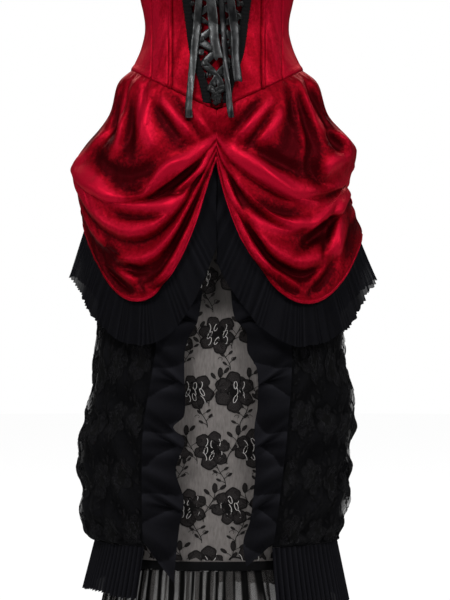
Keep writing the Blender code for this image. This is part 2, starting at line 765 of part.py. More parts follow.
def inner_flounce():
    rows = 2
    columns = 2 * INNER_FLOUNCE["pleats"]
    outer = np.zeros((rows, columns, 3))
    for r in range(rows):
        share = r / (rows - 1)
        for c, angle in enumerate(turned(columns)):
            wave = INNER_FLOUNCE["pleat_depth"] / 2 * (1 - 2 * (c % 2)) * (0.2 + 0.8 * share)
            out = INNER_FLOUNCE["spread"] * share + wave
            outer[r, c] = section(INNER_SKIRT, angle, RIGHT, bottom_of(INNER_SKIRT), out)
            outer[r, c, 2] = mix(INNER_FLOUNCE["top"], INNER_FLOUNCE["bottom"], share)
    cloth("inner_flounce", "mesh_black", outer, SHEER, closed=True)


def overlay_sizes(side_name, row):
    """Blended sizes of the draped lace at a place between its fold rows."""
    picked = [OVERLAY_COLUMNS.index(name) for name in ("height", side_name, "front", "back", "dip")]
    values = np.array([[fold[k] for k in picked] for fold in OVERLAY])
    padded = np.concatenate([values[:1], values, values[-1:]])
    i = min(int(row), len(OVERLAY) - 2)
    return catmull(*padded[i : i + 4], row - i)


def overlay_point(side_name, share, row, out=0.0):
    """A point of the draped lace: share from its front edge to centre back, row counted in fold rows."""
    height, width, front, back, dip = overlay_sizes(side_name, row)
    edge = asin(along(OVERLAY_EDGE, side_name, height) / width)
    angle = mix(edge, pi, share)
    front_dip = sin(pi * min(share * 1.6, 1.0)) ** 2
    back_dip = 0.8 * sin(pi * min(max(share * 1.7 - 0.7, 0), 1)) ** 2
    low = height - dip * (front_dip + back_dip)
    return ring_point(SIDES[side_name], angle, width + out, front + out, back + out, low)


def overlay():
    rows, columns = 11, 12
    for side_name, side in SIDES.items():
        fold_rows = [r / (rows - 1) * (len(OVERLAY) - 1) for r in range(rows)]
        shares = [c / (columns - 1) for c in range(columns)]
        outer = np.array([[overlay_point(side_name, share, row) for share in shares] for row in fold_rows])
        cloth(f"lace_overlay_{side_name}", "lace_black", outer, SHEER, side)


def outer_flounces():
    """Pleated mesh flounce on the hem of the draped lace."""
    rows = 2
    columns = 2 * OUTER_FLOUNCE["pleats"] + 1
    for side_name, side in SIDES.items():
        outer = np.zeros((rows, columns, 3))
        for r in range(rows):
            share = r / (rows - 1)
            for c in range(columns):
                wave = OUTER_FLOUNCE["pleat_depth"] / 2 * (1 - 2 * (c % 2)) * (0.2 + 0.8 * share)
                out = OUTER_FLOUNCE["spread"] * share + wave
                outer[r, c] = overlay_point(side_name, c / (columns - 1), len(OVERLAY) - 1, out)
                outer[r, c, 2] = mix(OUTER_FLOUNCE["top"], OUTER_FLOUNCE["bottom"][side_name], share)
        cloth(f"outer_flounce_{side_name}", "mesh_black", outer, SHEER, side)


def overlay_row_at(side_name, height):
    """The fold row, with its fraction, at which the draped lace's front edge has this height."""
    heights = [overlay_sizes(side_name, k / 20)[0] for k in range(20 * (len(OVERLAY) - 1) + 1)]
    return min(range(len(heights)), key=lambda k: abs(heights[k] - height)) / 20


def cascade_point(side_name, share, reach):
    """A point of the front-edge ruffle: share from top to bottom, reach from its seam to its free edge."""
    side = SIDES[side_name]
    height = mix(CASCADE["top"], CASCADE["bottom"], share)
    seam = overlay_point(side_name, 0.0, overlay_row_at(side_name, height), CASCADE["stand"])
    seam[2] = height
    turn = 2 * pi * CASCADE["falls"] * share
    lowest_fall = max(share - CASCADE["last_from"], 0.0) / (1 - CASCADE["last_from"])
    drop = CASCADE["drop"] + CASCADE["last"][side_name] * lowest_fall
    free_height = height - drop * (0.55 + 0.45 * sin(turn))
    grown = min(share / CASCADE["full_from"], 1.0)
    distance = along(CASCADE_EDGE, side_name, free_height) + CASCADE["sway"] * cos(turn)
    width = abs(seam[0]) / max(sin(asin(along(OVERLAY_EDGE, side_name, height) / 0.21)), 0.1)
    below = OUTER_FLOUNCE["top"] + CASCADE["clear_height"] - free_height
    past_hem = min(max(below / CASCADE["clear_over"], 0.0), 1.0)
    stands = CASCADE["swing"] * grown * (0.9 + 0.9 * sin(turn)) + CASCADE["clear"] * past_hem
    depth = np.hypot(seam[1], seam[0] * 0.55) + stands
    angle = asin(min(distance / max(width, 0.12), 1.0))
    free = np.array((side * distance, -depth * cos(angle), free_height))
    point = mix(seam, free, reach)
    point[1] -= CASCADE["belly"] * grown * sin(pi * reach) * (0.5 + 0.5 * cos(turn))
    return point


def cascades():
    rows, columns = 28, 3
    for side_name, side in SIDES.items():
        outer = np.array(
            [
                [cascade_point(side_name, r / (rows - 1), c / (columns - 1)) for c in range(columns)]
                for r in range(rows)
            ]
        )
        cloth(f"cascade_{side_name}", "mesh_black", outer, SHEER, side)


def main():
    clear_scene()
    bodice_panels()
    modesty_panel()
    plackets()
    lacing()
    bow()
    velvet_overskirt()
    hem_ruffles()
    inner_skirt()
    hem_band()
    inner_flounce()
    overlay()
    outer_flounces()
    cascades()


main()
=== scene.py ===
from math import cos, exp, pi, radians, sin

import bpy
import numpy as np
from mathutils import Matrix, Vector


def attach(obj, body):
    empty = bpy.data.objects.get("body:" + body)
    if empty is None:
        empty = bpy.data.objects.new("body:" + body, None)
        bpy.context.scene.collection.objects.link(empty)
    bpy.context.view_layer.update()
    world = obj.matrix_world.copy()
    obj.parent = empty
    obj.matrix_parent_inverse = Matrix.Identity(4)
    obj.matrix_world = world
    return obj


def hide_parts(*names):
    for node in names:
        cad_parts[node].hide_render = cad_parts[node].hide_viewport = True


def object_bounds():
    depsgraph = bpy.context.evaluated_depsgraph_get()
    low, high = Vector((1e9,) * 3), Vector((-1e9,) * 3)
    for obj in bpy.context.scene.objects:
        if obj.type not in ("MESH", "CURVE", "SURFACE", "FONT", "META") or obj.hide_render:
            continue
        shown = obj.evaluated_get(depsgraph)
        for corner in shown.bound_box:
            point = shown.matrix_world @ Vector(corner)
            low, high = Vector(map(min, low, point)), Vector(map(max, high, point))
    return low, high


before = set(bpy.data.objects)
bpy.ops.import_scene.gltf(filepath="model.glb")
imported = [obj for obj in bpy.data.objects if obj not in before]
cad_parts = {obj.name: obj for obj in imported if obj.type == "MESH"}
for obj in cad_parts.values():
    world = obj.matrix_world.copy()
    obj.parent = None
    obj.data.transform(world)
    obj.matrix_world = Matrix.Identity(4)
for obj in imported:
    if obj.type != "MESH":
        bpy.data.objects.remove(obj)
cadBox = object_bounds()
bpy.ops.object.select_all(action="DESELECT")
scene = bpy.context.scene
sides = {"left": -1, "right": 1}
print("dress: frame loaded")


# Studio. The lens sees the dress from the neckline's foot down to just above the hem.

studio = {
    "distance": 3.5,
    "lookAt": (0.0135, -0.4597),
    "seenHeight": 1.014,
    "floorRadius": 7.0,
    "floorBelowHem": 0.012,
    "roomLight": 0.05,
}


def addCamera():
    across, height = studio["lookAt"]
    camera = bpy.data.cameras.new("portrait lens")
    camera.sensor_fit = "VERTICAL"
    camera.sensor_height = 24
    camera.lens = 24 * studio["distance"] / studio["seenHeight"]
    holder = bpy.data.objects.new("portrait lens", camera)
    holder.location = (across, -studio["distance"], height)
    holder.rotation_euler = (pi / 2, 0, 0)
    scene.collection.objects.link(holder)
    scene.camera = holder


addCamera()


# Shader helpers

class Wire:
    # a socket that can be reckoned with, each operator adding its Math node
    def __init__(self, finish, socket):
        self.finish = finish
        self.socket = socket

    def math(self, operation, *others):
        values = {k + 1: other for k, other in enumerate(others)}
        values[0] = self
        return self.finish.node("ShaderNodeMath", {"operation": operation}, values)

    def __add__(self, other):
        return self.math("ADD", other)

    def __sub__(self, other):
        return self.math("SUBTRACT", other)

    def __rsub__(self, other):
        return self.finish.node("ShaderNodeMath", {"operation": "SUBTRACT"}, {0: other, 1: self})

    def __mul__(self, other):
        return self.math("MULTIPLY", other)

    __radd__ = __add__
    __rmul__ = __mul__


class Finish:
    # a material with one Principled shader, whose plain values are set by name
    def __init__(self, name, **plain):
        self.material = bpy.data.materials.new(name)
        self.material.use_nodes = True
        self.tree = self.material.node_tree
        self.shader = self.tree.nodes["Principled BSDF"]
        for key, value in plain.items():
            words = "".join(" " + letter if letter.isupper() else letter for letter in key).strip().title()
            self.shader.inputs[words.replace("Ior", "IOR")].default_value = value

    def put(self, socket, value):
        if isinstance(value, Wire):
            self.tree.links.new(value.socket, socket)
        elif value is not None:
            socket.default_value = value

    def node(self, kind, settings=None, values=None, output=0):
        made = self.tree.nodes.new(kind)
        for key, value in (settings or {}).items():
            setattr(made, key, value)
        for key, value in (values or {}).items():
            self.put(made.inputs[key], value)
        return Wire(self, made.outputs[output])

    def place(self, scale=(1, 1, 1), onCloth=False):
        # where the pattern reads: along the cloth, or in the dress's own metres
        start = self.node("ShaderNodeTexCoord", output="UV" if onCloth else "Object")
        return self.node("ShaderNodeMapping", None, {"Vector": start, "Scale": scale})

    def noise(self, at, scale, detail=2.0, roughness=0.5, distortion=0.0):
        values = {"Vector": at, "Scale": scale, "Detail": detail, "Roughness": roughness}
        values["Distortion"] = distortion
        return self.node("ShaderNodeTexNoise", None, values)

    def ease(self, value, low, high, toLow=0.0, toHigh=1.0):
        settings = {"interpolation_type": "SMOOTHSTEP"}
        values = {"Value": value, "From Min": low, "From Max": high, "To Min": toLow, "To Max": toHigh}
        return self.node("ShaderNodeMapRange", settings, values)

    def mixColour(self, factor, first, second):
        values = {0: factor, 6: first, 7: second}
        return self.node("ShaderNodeMix", {"data_type": "RGBA"}, values, output=2)

    def mark(self, name):
        return self.node("ShaderNodeAttribute", {"attribute_name": name}, output="Fac")

    def feed(self, **values):
        for key, value in values.items():
            words = "".join(" " + letter if letter.isupper() else letter for letter in key).strip().title()
            self.put(self.shader.inputs[words], value)

    def bump(self, height, strength, distance):
        values = {"Height": height, "Strength": strength, "Distance": distance}
        self.put(self.shader.inputs["Normal"], self.node("ShaderNodeBump", None, values))


# Cloth finishes

# hollow is the painted shade colour for the troughs, bright the painted highlight colour for the crests, deep
# the velvet's red between them
velvet = {
    "hollow": (0.040, 0.0005, 0.0018, 1),
    "deep": (0.225, 0.0014, 0.0072, 1),
    "bright": (0.480, 0.0050, 0.0255, 1),
    "crushSize": 30.0,
    "pileSize": 240.0,
}


def makeVelvet():
    finish = Finish(
        "crimson crushed velvet",
        metallic=0.55,
        specularIorLevel=0.2,
        specularTint=(0.85, 0.05, 0.09, 1),
    )
    at = finish.place()
    crush = finish.noise(at, velvet["crushSize"], 4.0, 0.55, 0.8)
    streaks = finish.noise(at, velvet["crushSize"] * 4, 3.0, 0.6, 0.4)
    pile = finish.noise(at, velvet["pileSize"], 3.0, 0.6)
    blotch = crush * 0.30 + streaks * 0.25 + pile * 0.45
    lightAndBlotch = finish.mark("nap") + (blotch - 0.5) * 1.20  # painted light with random blotches: low for painted shade in the hollows, high for painted highlight on the crests
    lower = finish.mixColour(finish.ease(lightAndBlotch, 0.0, 0.5), velvet["hollow"], velvet["deep"])
    colour = finish.mixColour(finish.ease(lightAndBlotch, 0.4, 0.95), lower, velvet["bright"])
    finish.feed(baseColor=colour, roughness=finish.ease(crush, 0.3, 0.7, 0.52, 0.43))
    finish.bump(crush * 0.15 + streaks * 0.20 + pile * 0.65, 0.22, 0.0025)
    return finish.material


def makeSatin(name, dark, light):
    finish = Finish(name, metallic=0.60, specularIorLevel=0.5)
    at = finish.place(onCloth=True)
    ribs = finish.node(
        "ShaderNodeTexWave",
        {"wave_type": "BANDS", "bands_direction": "Y"},
        {"Vector": at, "Scale": 260.0, "Distortion": 1.2, "Detail": 1.0},
    )
    # random patches painted lighter, as painted sheen on the black satin, with a smoother finish there
    cloud = finish.ease(finish.noise(at, 42.0, 2.0, 0.5, 0.6), 0.35, 0.68)
    finish.feed(
        baseColor=finish.mixColour(cloud, (*dark, 1), (*light, 1)),
        roughness=finish.ease(cloud, 0.0, 1.0, 0.36, 0.26),
    )
    finish.bump(ribs, 0.12, 0.0004)
    return finish.material


def makeMatt(name, colour, weave):
    finish = Finish(name, specularIorLevel=0.12)
    at = finish.place(onCloth=True)
    threads = finish.noise(at, weave, 2.0)
    lighter = tuple(min(c * 2.2, 1) for c in colour)
    finish.feed(
        baseColor=finish.mixColour(threads, (*colour, 1), (*lighter, 1)),
        roughness=finish.ease(threads, 0.3, 0.7, 0.72, 0.9),
    )
    finish.bump(threads, 0.25, 0.0006)
    return finish.material


def makeNet(name, colours, cover, variation, threadCount):
    # sheer cloth: cover is how much of the light behind it is held back where it is not gathered
    finish = Finish(name, specularIorLevel=0.05)
    at = finish.place(onCloth=True)
    threads = finish.noise(finish.place(scale=(1.0, 0.22, 1.0), onCloth=True), threadCount, 2.0, 0.6)
    cloud = finish.noise(at, 38.0, 2.0)
    thickness = finish.mark("thick")
    hold = threads * variation + cloud * (variation * 0.5) + (cover - variation * 0.75)
    covered = hold + (1 - hold) * thickness
    thin, bright, dense = ((*colour, 1) for colour in colours)
    # the fold mark is painted light: where it is high the net is painted lighter, as a painted highlight on
    # raised pleats and ruching
    woven = finish.mixColour(threads * 0.6 + finish.mark("fold") * 0.7, thin, bright)
    finish.feed(
        baseColor=finish.mixColour(thickness.math("MINIMUM", 1.0) * (1 - finish.mark("fold")), woven, dense),
        roughness=finish.ease(threads, 0.3, 0.7, 0.75, 0.95),
        alpha=covered.math("MINIMUM", 1.0),
    )
    finish.bump(threads, 0.3, 0.0008)
    return finish.material


def makeLaceMotif(name, petal, curls):
    # closely worked petals and leaves, heaviest along their outlines
    finish = Finish(name, specularIorLevel=0.06, roughness=0.8)
    at = finish.place(onCloth=True)
    fill = finish.noise(at, 900.0, 2.0, 0.6)
    rim = finish.mark("rim")  # 0 in a petal's middle, 1 on outlines, 2 on the pale threads
    worked = finish.mixColour(rim.math("MINIMUM", 1.0), (*petal, 1), (0.003, 0.003, 0.003, 1))
    finish.feed(
        baseColor=finish.mixColour(finish.ease(rim, 1.2, 1.8), worked, (*curls, 1)),
        alpha=(fill * 0.3 + 0.72 + rim * 0.4).math("MINIMUM", 1.0),
    )
    return finish.material


finishes = {
    "velvet": makeVelvet(),
    "satin": makeSatin("black satin ribbon", (0.016, 0.0165, 0.017), (0.112, 0.115, 0.117)),
    "darkSatin": makeSatin("black satin ribbon in shade", (0.004, 0.004, 0.005), (0.060, 0.062, 0.064)),
    "lacingSatin": makeSatin("black lacing ribbon", (0.002, 0.002, 0.002), (0.044, 0.046, 0.048)),
    "ribbonTape": makeMatt("black lace tape", (0.0018, 0.0018, 0.0021), 700.0),
    "mesh": makeNet(
        "black pleated mesh",
        [(0.0036, 0.0036, 0.0050), (0.0150, 0.0150, 0.0190), (0.0024, 0.0024, 0.0034)],
        cover=0.88,
        variation=0.10,
        threadCount=420.0,
    ),
    "flounceMesh": makeNet(
        "sheer flounce mesh",
        [(0.066, 0.062, 0.060), (0.158, 0.150, 0.145), (0.003, 0.003, 0.003)],
        cover=0.68,
        variation=0.30,
        threadCount=300.0,
    ),
    "laceNet": makeNet(
        "lace net over fine lining",
        [(0.170, 0.155, 0.148), (0.420, 0.388, 0.372), (0.012, 0.011, 0.010)],
        cover=0.80,
        variation=0.24,
        threadCount=330.0,
    ),
    "drapedLace": makeNet(
        "draped lace net",
        [(0.0024, 0.0024, 0.0029), (0.0080, 0.0080, 0.0096), (0.0020, 0.0020, 0.0025)],
        cover=0.40,
        variation=0.30,
        threadCount=420.0,
    ),
    "motif": makeLaceMotif("worked lace thread", (0.026, 0.023, 0.023), (0.55, 0.53, 0.52)),
    "blackMotif": makeLaceMotif("black lace thread", (0.0070, 0.0068, 0.0080), (0.022, 0.022, 0.024)),
}
print("dress: finishes made")


# Curves and surfaces

def blend(a, b, f):
    return a + (b - a) * f


def smoothStep(f):
    f = np.clip(f, 0, 1)
    return f * f * (3 - 2 * f)


def atHeight(table, column, height):
    # a column of a table of level sections, read smoothly at a height
    order = np.argsort(table["height"])
    h = np.array(table["height"])[order]
    v = np.array(table[column])[order]
    height = np.clip(height, h[0], h[-1])
    i = np.clip(np.searchsorted(h, height, side="right") - 1, 0, len(h) - 2)
    low = np.maximum(np.arange(len(h)) - 1, 0)
    high = np.minimum(np.arange(len(h)) + 1, len(h) - 1)
    slope = (v[high] - v[low]) / (h[high] - h[low])
    step = h[i + 1] - h[i]
    f = (height - h[i]) / step
    start = v[i] * (2 * f**3 - 3 * f**2 + 1) + slope[i] * step * (f**3 - 2 * f**2 + f)
    return start + v[i + 1] * (3 * f**2 - 2 * f**3) + slope[i + 1] * step * (f**3 - f**2)


def smoothRow(rows, at):
    # rows has its table row first; a smooth reading between rows at a row number with its fraction
    padded = np.concatenate([2 * rows[:1] - rows[1:2], rows, 2 * rows[-1:] - rows[-2:-1]])
    i = np.clip(np.floor(at).astype(int), 0, len(rows) - 2)
    f = at - i
    f = f.reshape(f.shape + (1,) * (rows.ndim - 1)) if np.ndim(f) else f
    a, b, c, d = (padded[i + k] for k in range(4))
    return 0.5 * (2 * b + (c - a) * f + (2 * a - 5 * b + 4 * c - d) * f**2 + (3 * b - a - 3 * c + d) * f**3)


def smoothPath(points, count):
    return smoothRow(np.array(points, float), np.linspace(0, len(points) - 1, count))


def ringPoints(side, angle, width, front, back, height):
    depth = np.where(np.cos(angle) > 0, front, back)
    return np.stack([side * width * np.sin(angle), -depth * np.cos(angle), height + 0 * angle], axis=-1)


def gridNormals(points, closed=False):
    down = np.gradient(points, axis=0)
    if closed:
        across = (np.roll(points, -1, axis=1) - np.roll(points, 1, axis=1)) / 2
    else:
        across = np.gradient(points, axis=1)
    normals = np.cross(across, down)
    normals /= np.maximum(np.linalg.norm(normals, axis=2, keepdims=True), 1e-12)
    middle = points.reshape(-1, 3).mean(axis=0) * (0, 0, 1)
    outward = points - middle
    outward[..., 2] = 0
    return -normals if np.sum(normals * outward) < 0 else normals


def clothLengths(points, closed=False):
    # how far each point is along the cloth and down it, in metres
    ring = np.concatenate([points, points[:, :1]], axis=1) if closed else points
    across = np.linalg.norm(np.diff(ring, axis=1), axis=2).mean(axis=0)
    down = np.linalg.norm(np.diff(ring, axis=0), axis=2)
    u = np.concatenate([[0], np.cumsum(across)])
    v = np.concatenate([np.zeros((1, ring.shape[1])), -np.cumsum(down, axis=0)])
    return np.stack([np.broadcast_to(u, v.shape), v], axis=-1)


def addMesh(name, points, faces, finish, faceUvs=None, marks=None):
    mesh = bpy.data.meshes.new(name)
    mesh.from_pydata(points.tolist(), [], faces.tolist())
    mesh.materials.append(finish)
    mesh.polygons.foreach_set("use_smooth", [True] * len(faces))
    if faceUvs is not None:
        layer = mesh.uv_layers.new(name="cloth")
        layer.data.foreach_set("uv", faceUvs.reshape(-1))
    for key, values in (marks or {}).items():
        attribute = mesh.attributes.new(key, "FLOAT", "POINT")
        attribute.data.foreach_set("value", values.reshape(-1))
    piece = bpy.data.objects.new(name, mesh)
    scene.collection.objects.link(piece)
    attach(piece, "root")
    return piece


def addCloth(name, points, finish, nodes=(), closed=False, thickness=0.0, marks=None):
    # one piece of cloth from a grid of points, its outer face away from the dress's middle
    rows, columns = points.shape[:2]
    index = np.arange(rows * columns).reshape(rows, columns)
    lengths = clothLengths(points, closed)
    if closed:
        index = np.concatenate([index, index[:, :1]], axis=1)
    corners = [index[:-1, :-1], index[:-1, 1:], index[1:, 1:], index[1:, :-1]]
    uvs = [lengths[:-1, :-1], lengths[:-1, 1:], lengths[1:, 1:], lengths[1:, :-1]]
    faces = np.stack(corners, axis=-1).reshape(-1, 4)
    faceUvs = np.stack(uvs, axis=2).reshape(-1, 4, 2)
    r, c = rows // 2, columns // 2
    a, b, d = points[r, c], points[r, (c + 1) % columns], points[min(r + 1, rows - 1), c]
    if np.dot(np.cross(d - a, b - a), gridNormals(points, closed)[r, c]) < 0:
        faces = faces[:, ::-1]
        faceUvs = faceUvs[:, ::-1]
    piece = addMesh(name, points.reshape(-1, 3), faces, finish, faceUvs, marks)
    if thickness:
        wall = piece.modifiers.new("cloth thickness", "SOLIDIFY")
        wall.thickness = thickness
        wall.offset = -1
    if nodes:
        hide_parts(*nodes)
    return piece


def addVelvet(name, points, node, thickness, marks):
    return addCloth(name, points, finishes["velvet"], [node], thickness=thickness, marks=marks)


def creaseHeight(x, z, creases):
    # how far the listed folds and troughs lift the cloth, seen square on
    lift = np.zeros_like(x)
    creaseLight = np.zeros_like(x)
    for _, width, height, points in creases:
        path = smoothPath(points, 6 * (len(points) - 1) + 1)
        nearest = np.full(x.shape, 1e9)
        share = np.zeros_like(x)
        for k in range(len(path) - 1):
            ax, az = path[k]
            bx, bz = path[k + 1] - path[k]
            f = np.clip(((x - ax) * bx + (z - az) * bz) / (bx * bx + bz * bz), 0, 1)
            gap = np.hypot(x - ax - f * bx, z - az - f * bz)
            nearer = gap < nearest
            nearest = np.where(nearer, gap, nearest)
            share = np.where(nearer, (k + f) / (len(path) - 1), share)
        ends = np.sin(pi * np.clip(share, 0.04, 0.96)) ** 0.6
        lift += height * ends * np.exp(-((nearest / width) ** 2))
        # painted light from each crease: a painted highlight where it lifts, painted shade where it sinks
        creaseLight += np.clip(height / 0.006, -1, 1) * ends * np.exp(-((nearest / (1.3 * width)) ** 2))
    return lift, creaseLight


def wander(t, seed, waves=4):
    # a smooth uneven curve about zero, the same on every run
    rng = np.random.default_rng(seed)
    total = 0
    for k in range(waves):
        total = total + np.sin(2 * pi * (t * rng.uniform(0.6, 1.5) * (k + 1) + rng.random())) / (k + 1)
    return total / 1.6


# Bodice

figure = {
    "height": (-0.150, -0.110, -0.075, -0.035, 0.000, 0.047, 0.100, 0.150, 0.200),
    "width": (0.160, 0.1535, 0.1415, 0.1240, 0.1175, 0.1255, 0.137, 0.149, 0.151),
    "front": (0.114, 0.110, 0.104, 0.094, 0.088, 0.094, 0.106, 0.116, 0.110),
    "back": (0.128, 0.120, 0.108, 0.092, 0.083, 0.085, 0.091, 0.096, 0.098),
    "bustAngle": 32.0,
    "bustHeight": 0.135,
    "bustSpreadAngle": 24.0,
    "bustSpreadHeight": 0.055,
    "bustFullness": 0.018,
}
bodice = {
    "cloth": 0.0020,
    "point": -0.150,
    "rise": 0.0765,
    "backDrop": 0.030,
    "neckCentre": 0.136,
    "neckCup": 0.186,
    "neckSide": 0.158,
    "neckBack": 0.150,
    "cupAngle": 34.0,
    "cupSpread": 27.0,
    "princessSeam": 0.072,
    "sideFrontSeam": 0.106,
    "backSeamAngle": 118.0,
    "seamDip": 0.0016,
    "channelWidth": 0.0085,
    "edgeRoll": 0.0018,
    "nap": 0.46,  # painted light on the velvet, with a painted highlight towards the sides of the front
    "sideHighlight": 0.44,
    "litAngle": 66.0,
    "litSpread": 26.0,
    "velvetThickness": 0.0019,
    "modestyThickness": 0.0018,
}
opening = {
    "height": (-0.146, -0.105, -0.075, -0.054, 0.000, 0.047, 0.100, 0.150),
    "halfGap": (0.0070, 0.0150, 0.0240, 0.0300, 0.0370, 0.0430, 0.0470, 0.0490),
    "placketWidth": 0.013,
}


def bodyPoints(side, angle, height, out=0.0):
    across = (angle - radians(figure["bustAngle"])) / radians(figure["bustSpreadAngle"])
    up = (height - figure["bustHeight"]) / figure["bustSpreadHeight"]
    bulge = figure["bustFullness"] * np.exp(-(across**2) - up**2)
    return ringPoints(
        side,
        angle,
        atHeight(figure, "width", height) + out + 0.3 * bulge,
        atHeight(figure, "front", height) + out + bulge,
        atHeight(figure, "back", height) + out,
        height,
    )


def bodiceLow(angle):
    front = bodice["point"] + bodice["rise"] * np.sin(angle)
    back = bodice["point"] + bodice["rise"] - bodice["backDrop"] * np.cos(angle) ** 2
    return np.where(angle <= pi / 2, front, back)


def bodiceTop(angle):
    past = np.clip(angle / (pi / 2), 0, 1)
    behind = np.clip((angle - pi / 2) / (pi / 2), 0, 1)
    base = blend(blend(bodice["neckCentre"], bodice["neckSide"], past), bodice["neckBack"], behind)
    hill = np.exp(-(((angle - radians(bodice["cupAngle"])) / radians(bodice["cupSpread"])) ** 2))
    return base + (bodice["neckCup"] - bodice["neckCentre"]) * hill


def angleAt(distance, height):
    return np.arcsin(np.minimum(distance / atHeight(figure, "width", height), 1.0))


def seamLine(distance, share):
    # the angle of a seam that keeps its distance from the middle, at shares of the way up
    angle = np.full_like(share, 0.3)
    for _ in range(12):
        height = blend(bodiceLow(angle), bodiceTop(angle), share)
        angle = angleAt(distance(height), height)
    return angle


def addBodice():
    rows = 90
    share = np.linspace(0, 1, rows)
    frontEdge = seamLine(lambda z: atHeight(opening, "halfGap", z) + 0.002, share)
    princess = seamLine(lambda z: bodice["princessSeam"] + 0 * z, share)
    sideFront = seamLine(lambda z: bodice["sideFrontSeam"] + 0 * z, share)
    back = np.full(rows, radians(bodice["backSeamAngle"]))
    middle = np.full(rows, pi)
    panels = {
        "front": (frontEdge, princess, 34, 0),
        "side_front": (princess, sideFront, 26, 1),
        "side": (sideFront, back, 60, 0),
        "back": (back, middle, 60, 1),
    }
    pieces = {}
    for sideName, side in sides.items():
        for panel, (start, stop, columns, channel) in panels.items():
            f = np.linspace(0, 1, columns)[None, :]
            angle = blend(start[:, None] + 0.0017, stop[:, None] - 0.0017, f)
            height = blend(bodiceLow(angle), bodiceTop(angle), share[:, None])
            girth = atHeight(figure, "width", height)
            fromStart = (angle - start[:, None]) * girth
            fromStop = (stop[:, None] - angle) * girth
            atSeams = np.exp(-((fromStart / 0.0022) ** 2)) + np.exp(-((fromStop / 0.0022) ** 2))
            out = bodice["cloth"] - bodice["seamDip"] * atSeams
            if channel:  # a boning channel beside the seam
                beside = fromStart - bodice["channelWidth"]
                offBone = np.clip(np.abs(fromStart - bodice["channelWidth"] / 2) - 0.002, 0, 1)
                out += 0.0009 * np.exp(-((offBone / 0.002) ** 2))
                out -= 0.0011 * np.exp(-((beside / 0.0012) ** 2))
            lowEdge = (height - bodiceLow(angle)) / 0.004
            topEdge = (bodiceTop(angle) - height) / 0.004
            out += bodice["edgeRoll"] * np.exp(-((lowEdge - 1) ** 2)) + 0.0008 * np.exp(-((topEdge - 1) ** 2))
            strain = wander(height * 9 + f * 1.3, len(panel) + (side > 0) * 11)
            out += 0.0004 * strain * np.exp(-((height + 0.02) / 0.08) ** 2)
            points = bodyPoints(side, angle, height, out)
            # painted highlight towards the sides, where the side lamps catch the velvet, with random tone and
            # darker lines along each seam
            sideways = (angle - radians(bodice["litAngle"])) / radians(bodice["litSpread"])
            nap = bodice["nap"] + bodice["sideHighlight"] * np.exp(-(sideways**2))
            nap = nap + 0.08 * wander(height * 5 + angle * 2, len(panel))
            nap = nap - 0.35 * np.exp(-((fromStart / 0.0025) ** 2))
            nap = nap - 0.35 * np.exp(-((fromStop / 0.0025) ** 2))
            name = f"bodice_{panel}_{sideName}"
            marks = {"nap": np.clip(nap, 0, 1)}
            wall = bodice["velvetThickness"]
            pieces[name] = addVelvet(f"{name}_velvet", points, name, wall, marks)
    return pieces


bodicePieces = addBodice()
print("dress: bodice panels sewn")


def addModesty():
    rows, columns = 60, 40
    height = blend(bodice["point"] + 0.004, bodice["neckCentre"] - 0.004, np.linspace(0, 1, rows)[:, None])
    reach = angleAt(atHeight(opening, "halfGap", height) + 0.010, height)
    angle = reach * np.linspace(-1, 1, columns)[None, :]
    height = height + 0 * angle
    puff = 0.0006 * wander(height * 14, 3) * (1 - (angle / reach) ** 2)
    points = bodyPoints(1, angle, height, -0.0018 + puff)
    # painted shade: the modesty panel is painted darker than the bodice, as it lies recessed in the opening
    marks = {"nap": np.clip(0.30 + 0.12 * wander(height * 9, 4), 0, 1)}
    return addVelvet("modesty_panel_velvet", points, "modesty_panel", bodice["modestyThickness"], marks)


modestyPiece = addModesty()


# Laced opening

lacing = {
    "lowest": -0.112,
    "step": 0.040,
    "levels": 7,
    "width": 0.0125,
    "under": 0.0036,
    "over": 0.0049,
    "bar": 0.0062,
    "tab": 0.0125,
    "tabWidth": 0.0105,
    "bunchWidth": 0.0095,
    "thickness": 0.0005,
    "bunch": [  # routes across, up and out from the velvet, and how far each twists
        ([
            (-0.009, -0.114, 0.0066), (-0.004, -0.124, 0.0088),
            (0.003, -0.132, 0.0084), (-0.004, -0.141, 0.0060),
        ], 0.7),
        ([
            (0.009, -0.115, 0.0072), (0.004, -0.122, 0.0096),
            (-0.004, -0.129, 0.0092), (0.004, -0.140, 0.0066),
        ], -0.8),
        ([(-0.008, -0.127, 0.0074), (0.000, -0.131, 0.0102), (0.008, -0.127, 0.0078)], 0.5),
    ],
}


def addPlacket(sideName, side):
    rows, columns = 150, 9
    height = blend(bodice["point"] + 0.012, bodice["neckCentre"] - 0.0005, np.linspace(0, 1, rows)[:, None])
    edge = atHeight(opening, "halfGap", height)
    across = np.linspace(0, 1, columns)[None, :]
    scallop = 0.0006 * np.sin(height * 2 * pi / 0.0045)
    distance = edge - 0.0004 * (1 - across) + (opening["placketWidth"] + scallop) * across
    angle = angleAt(distance, height)
    gather = 0.0005 * np.sin(height * 2 * pi / 0.0062 + 1.5 * np.sin(across * 3))
    points = bodyPoints(side, angle, height + 0 * angle, bodice["cloth"] + 0.0030 + gather)
    name = f"placket_{sideName}"
    return addCloth(f"{name}_tape", points, finishes["ribbonTape"], [name], thickness=0.0006)


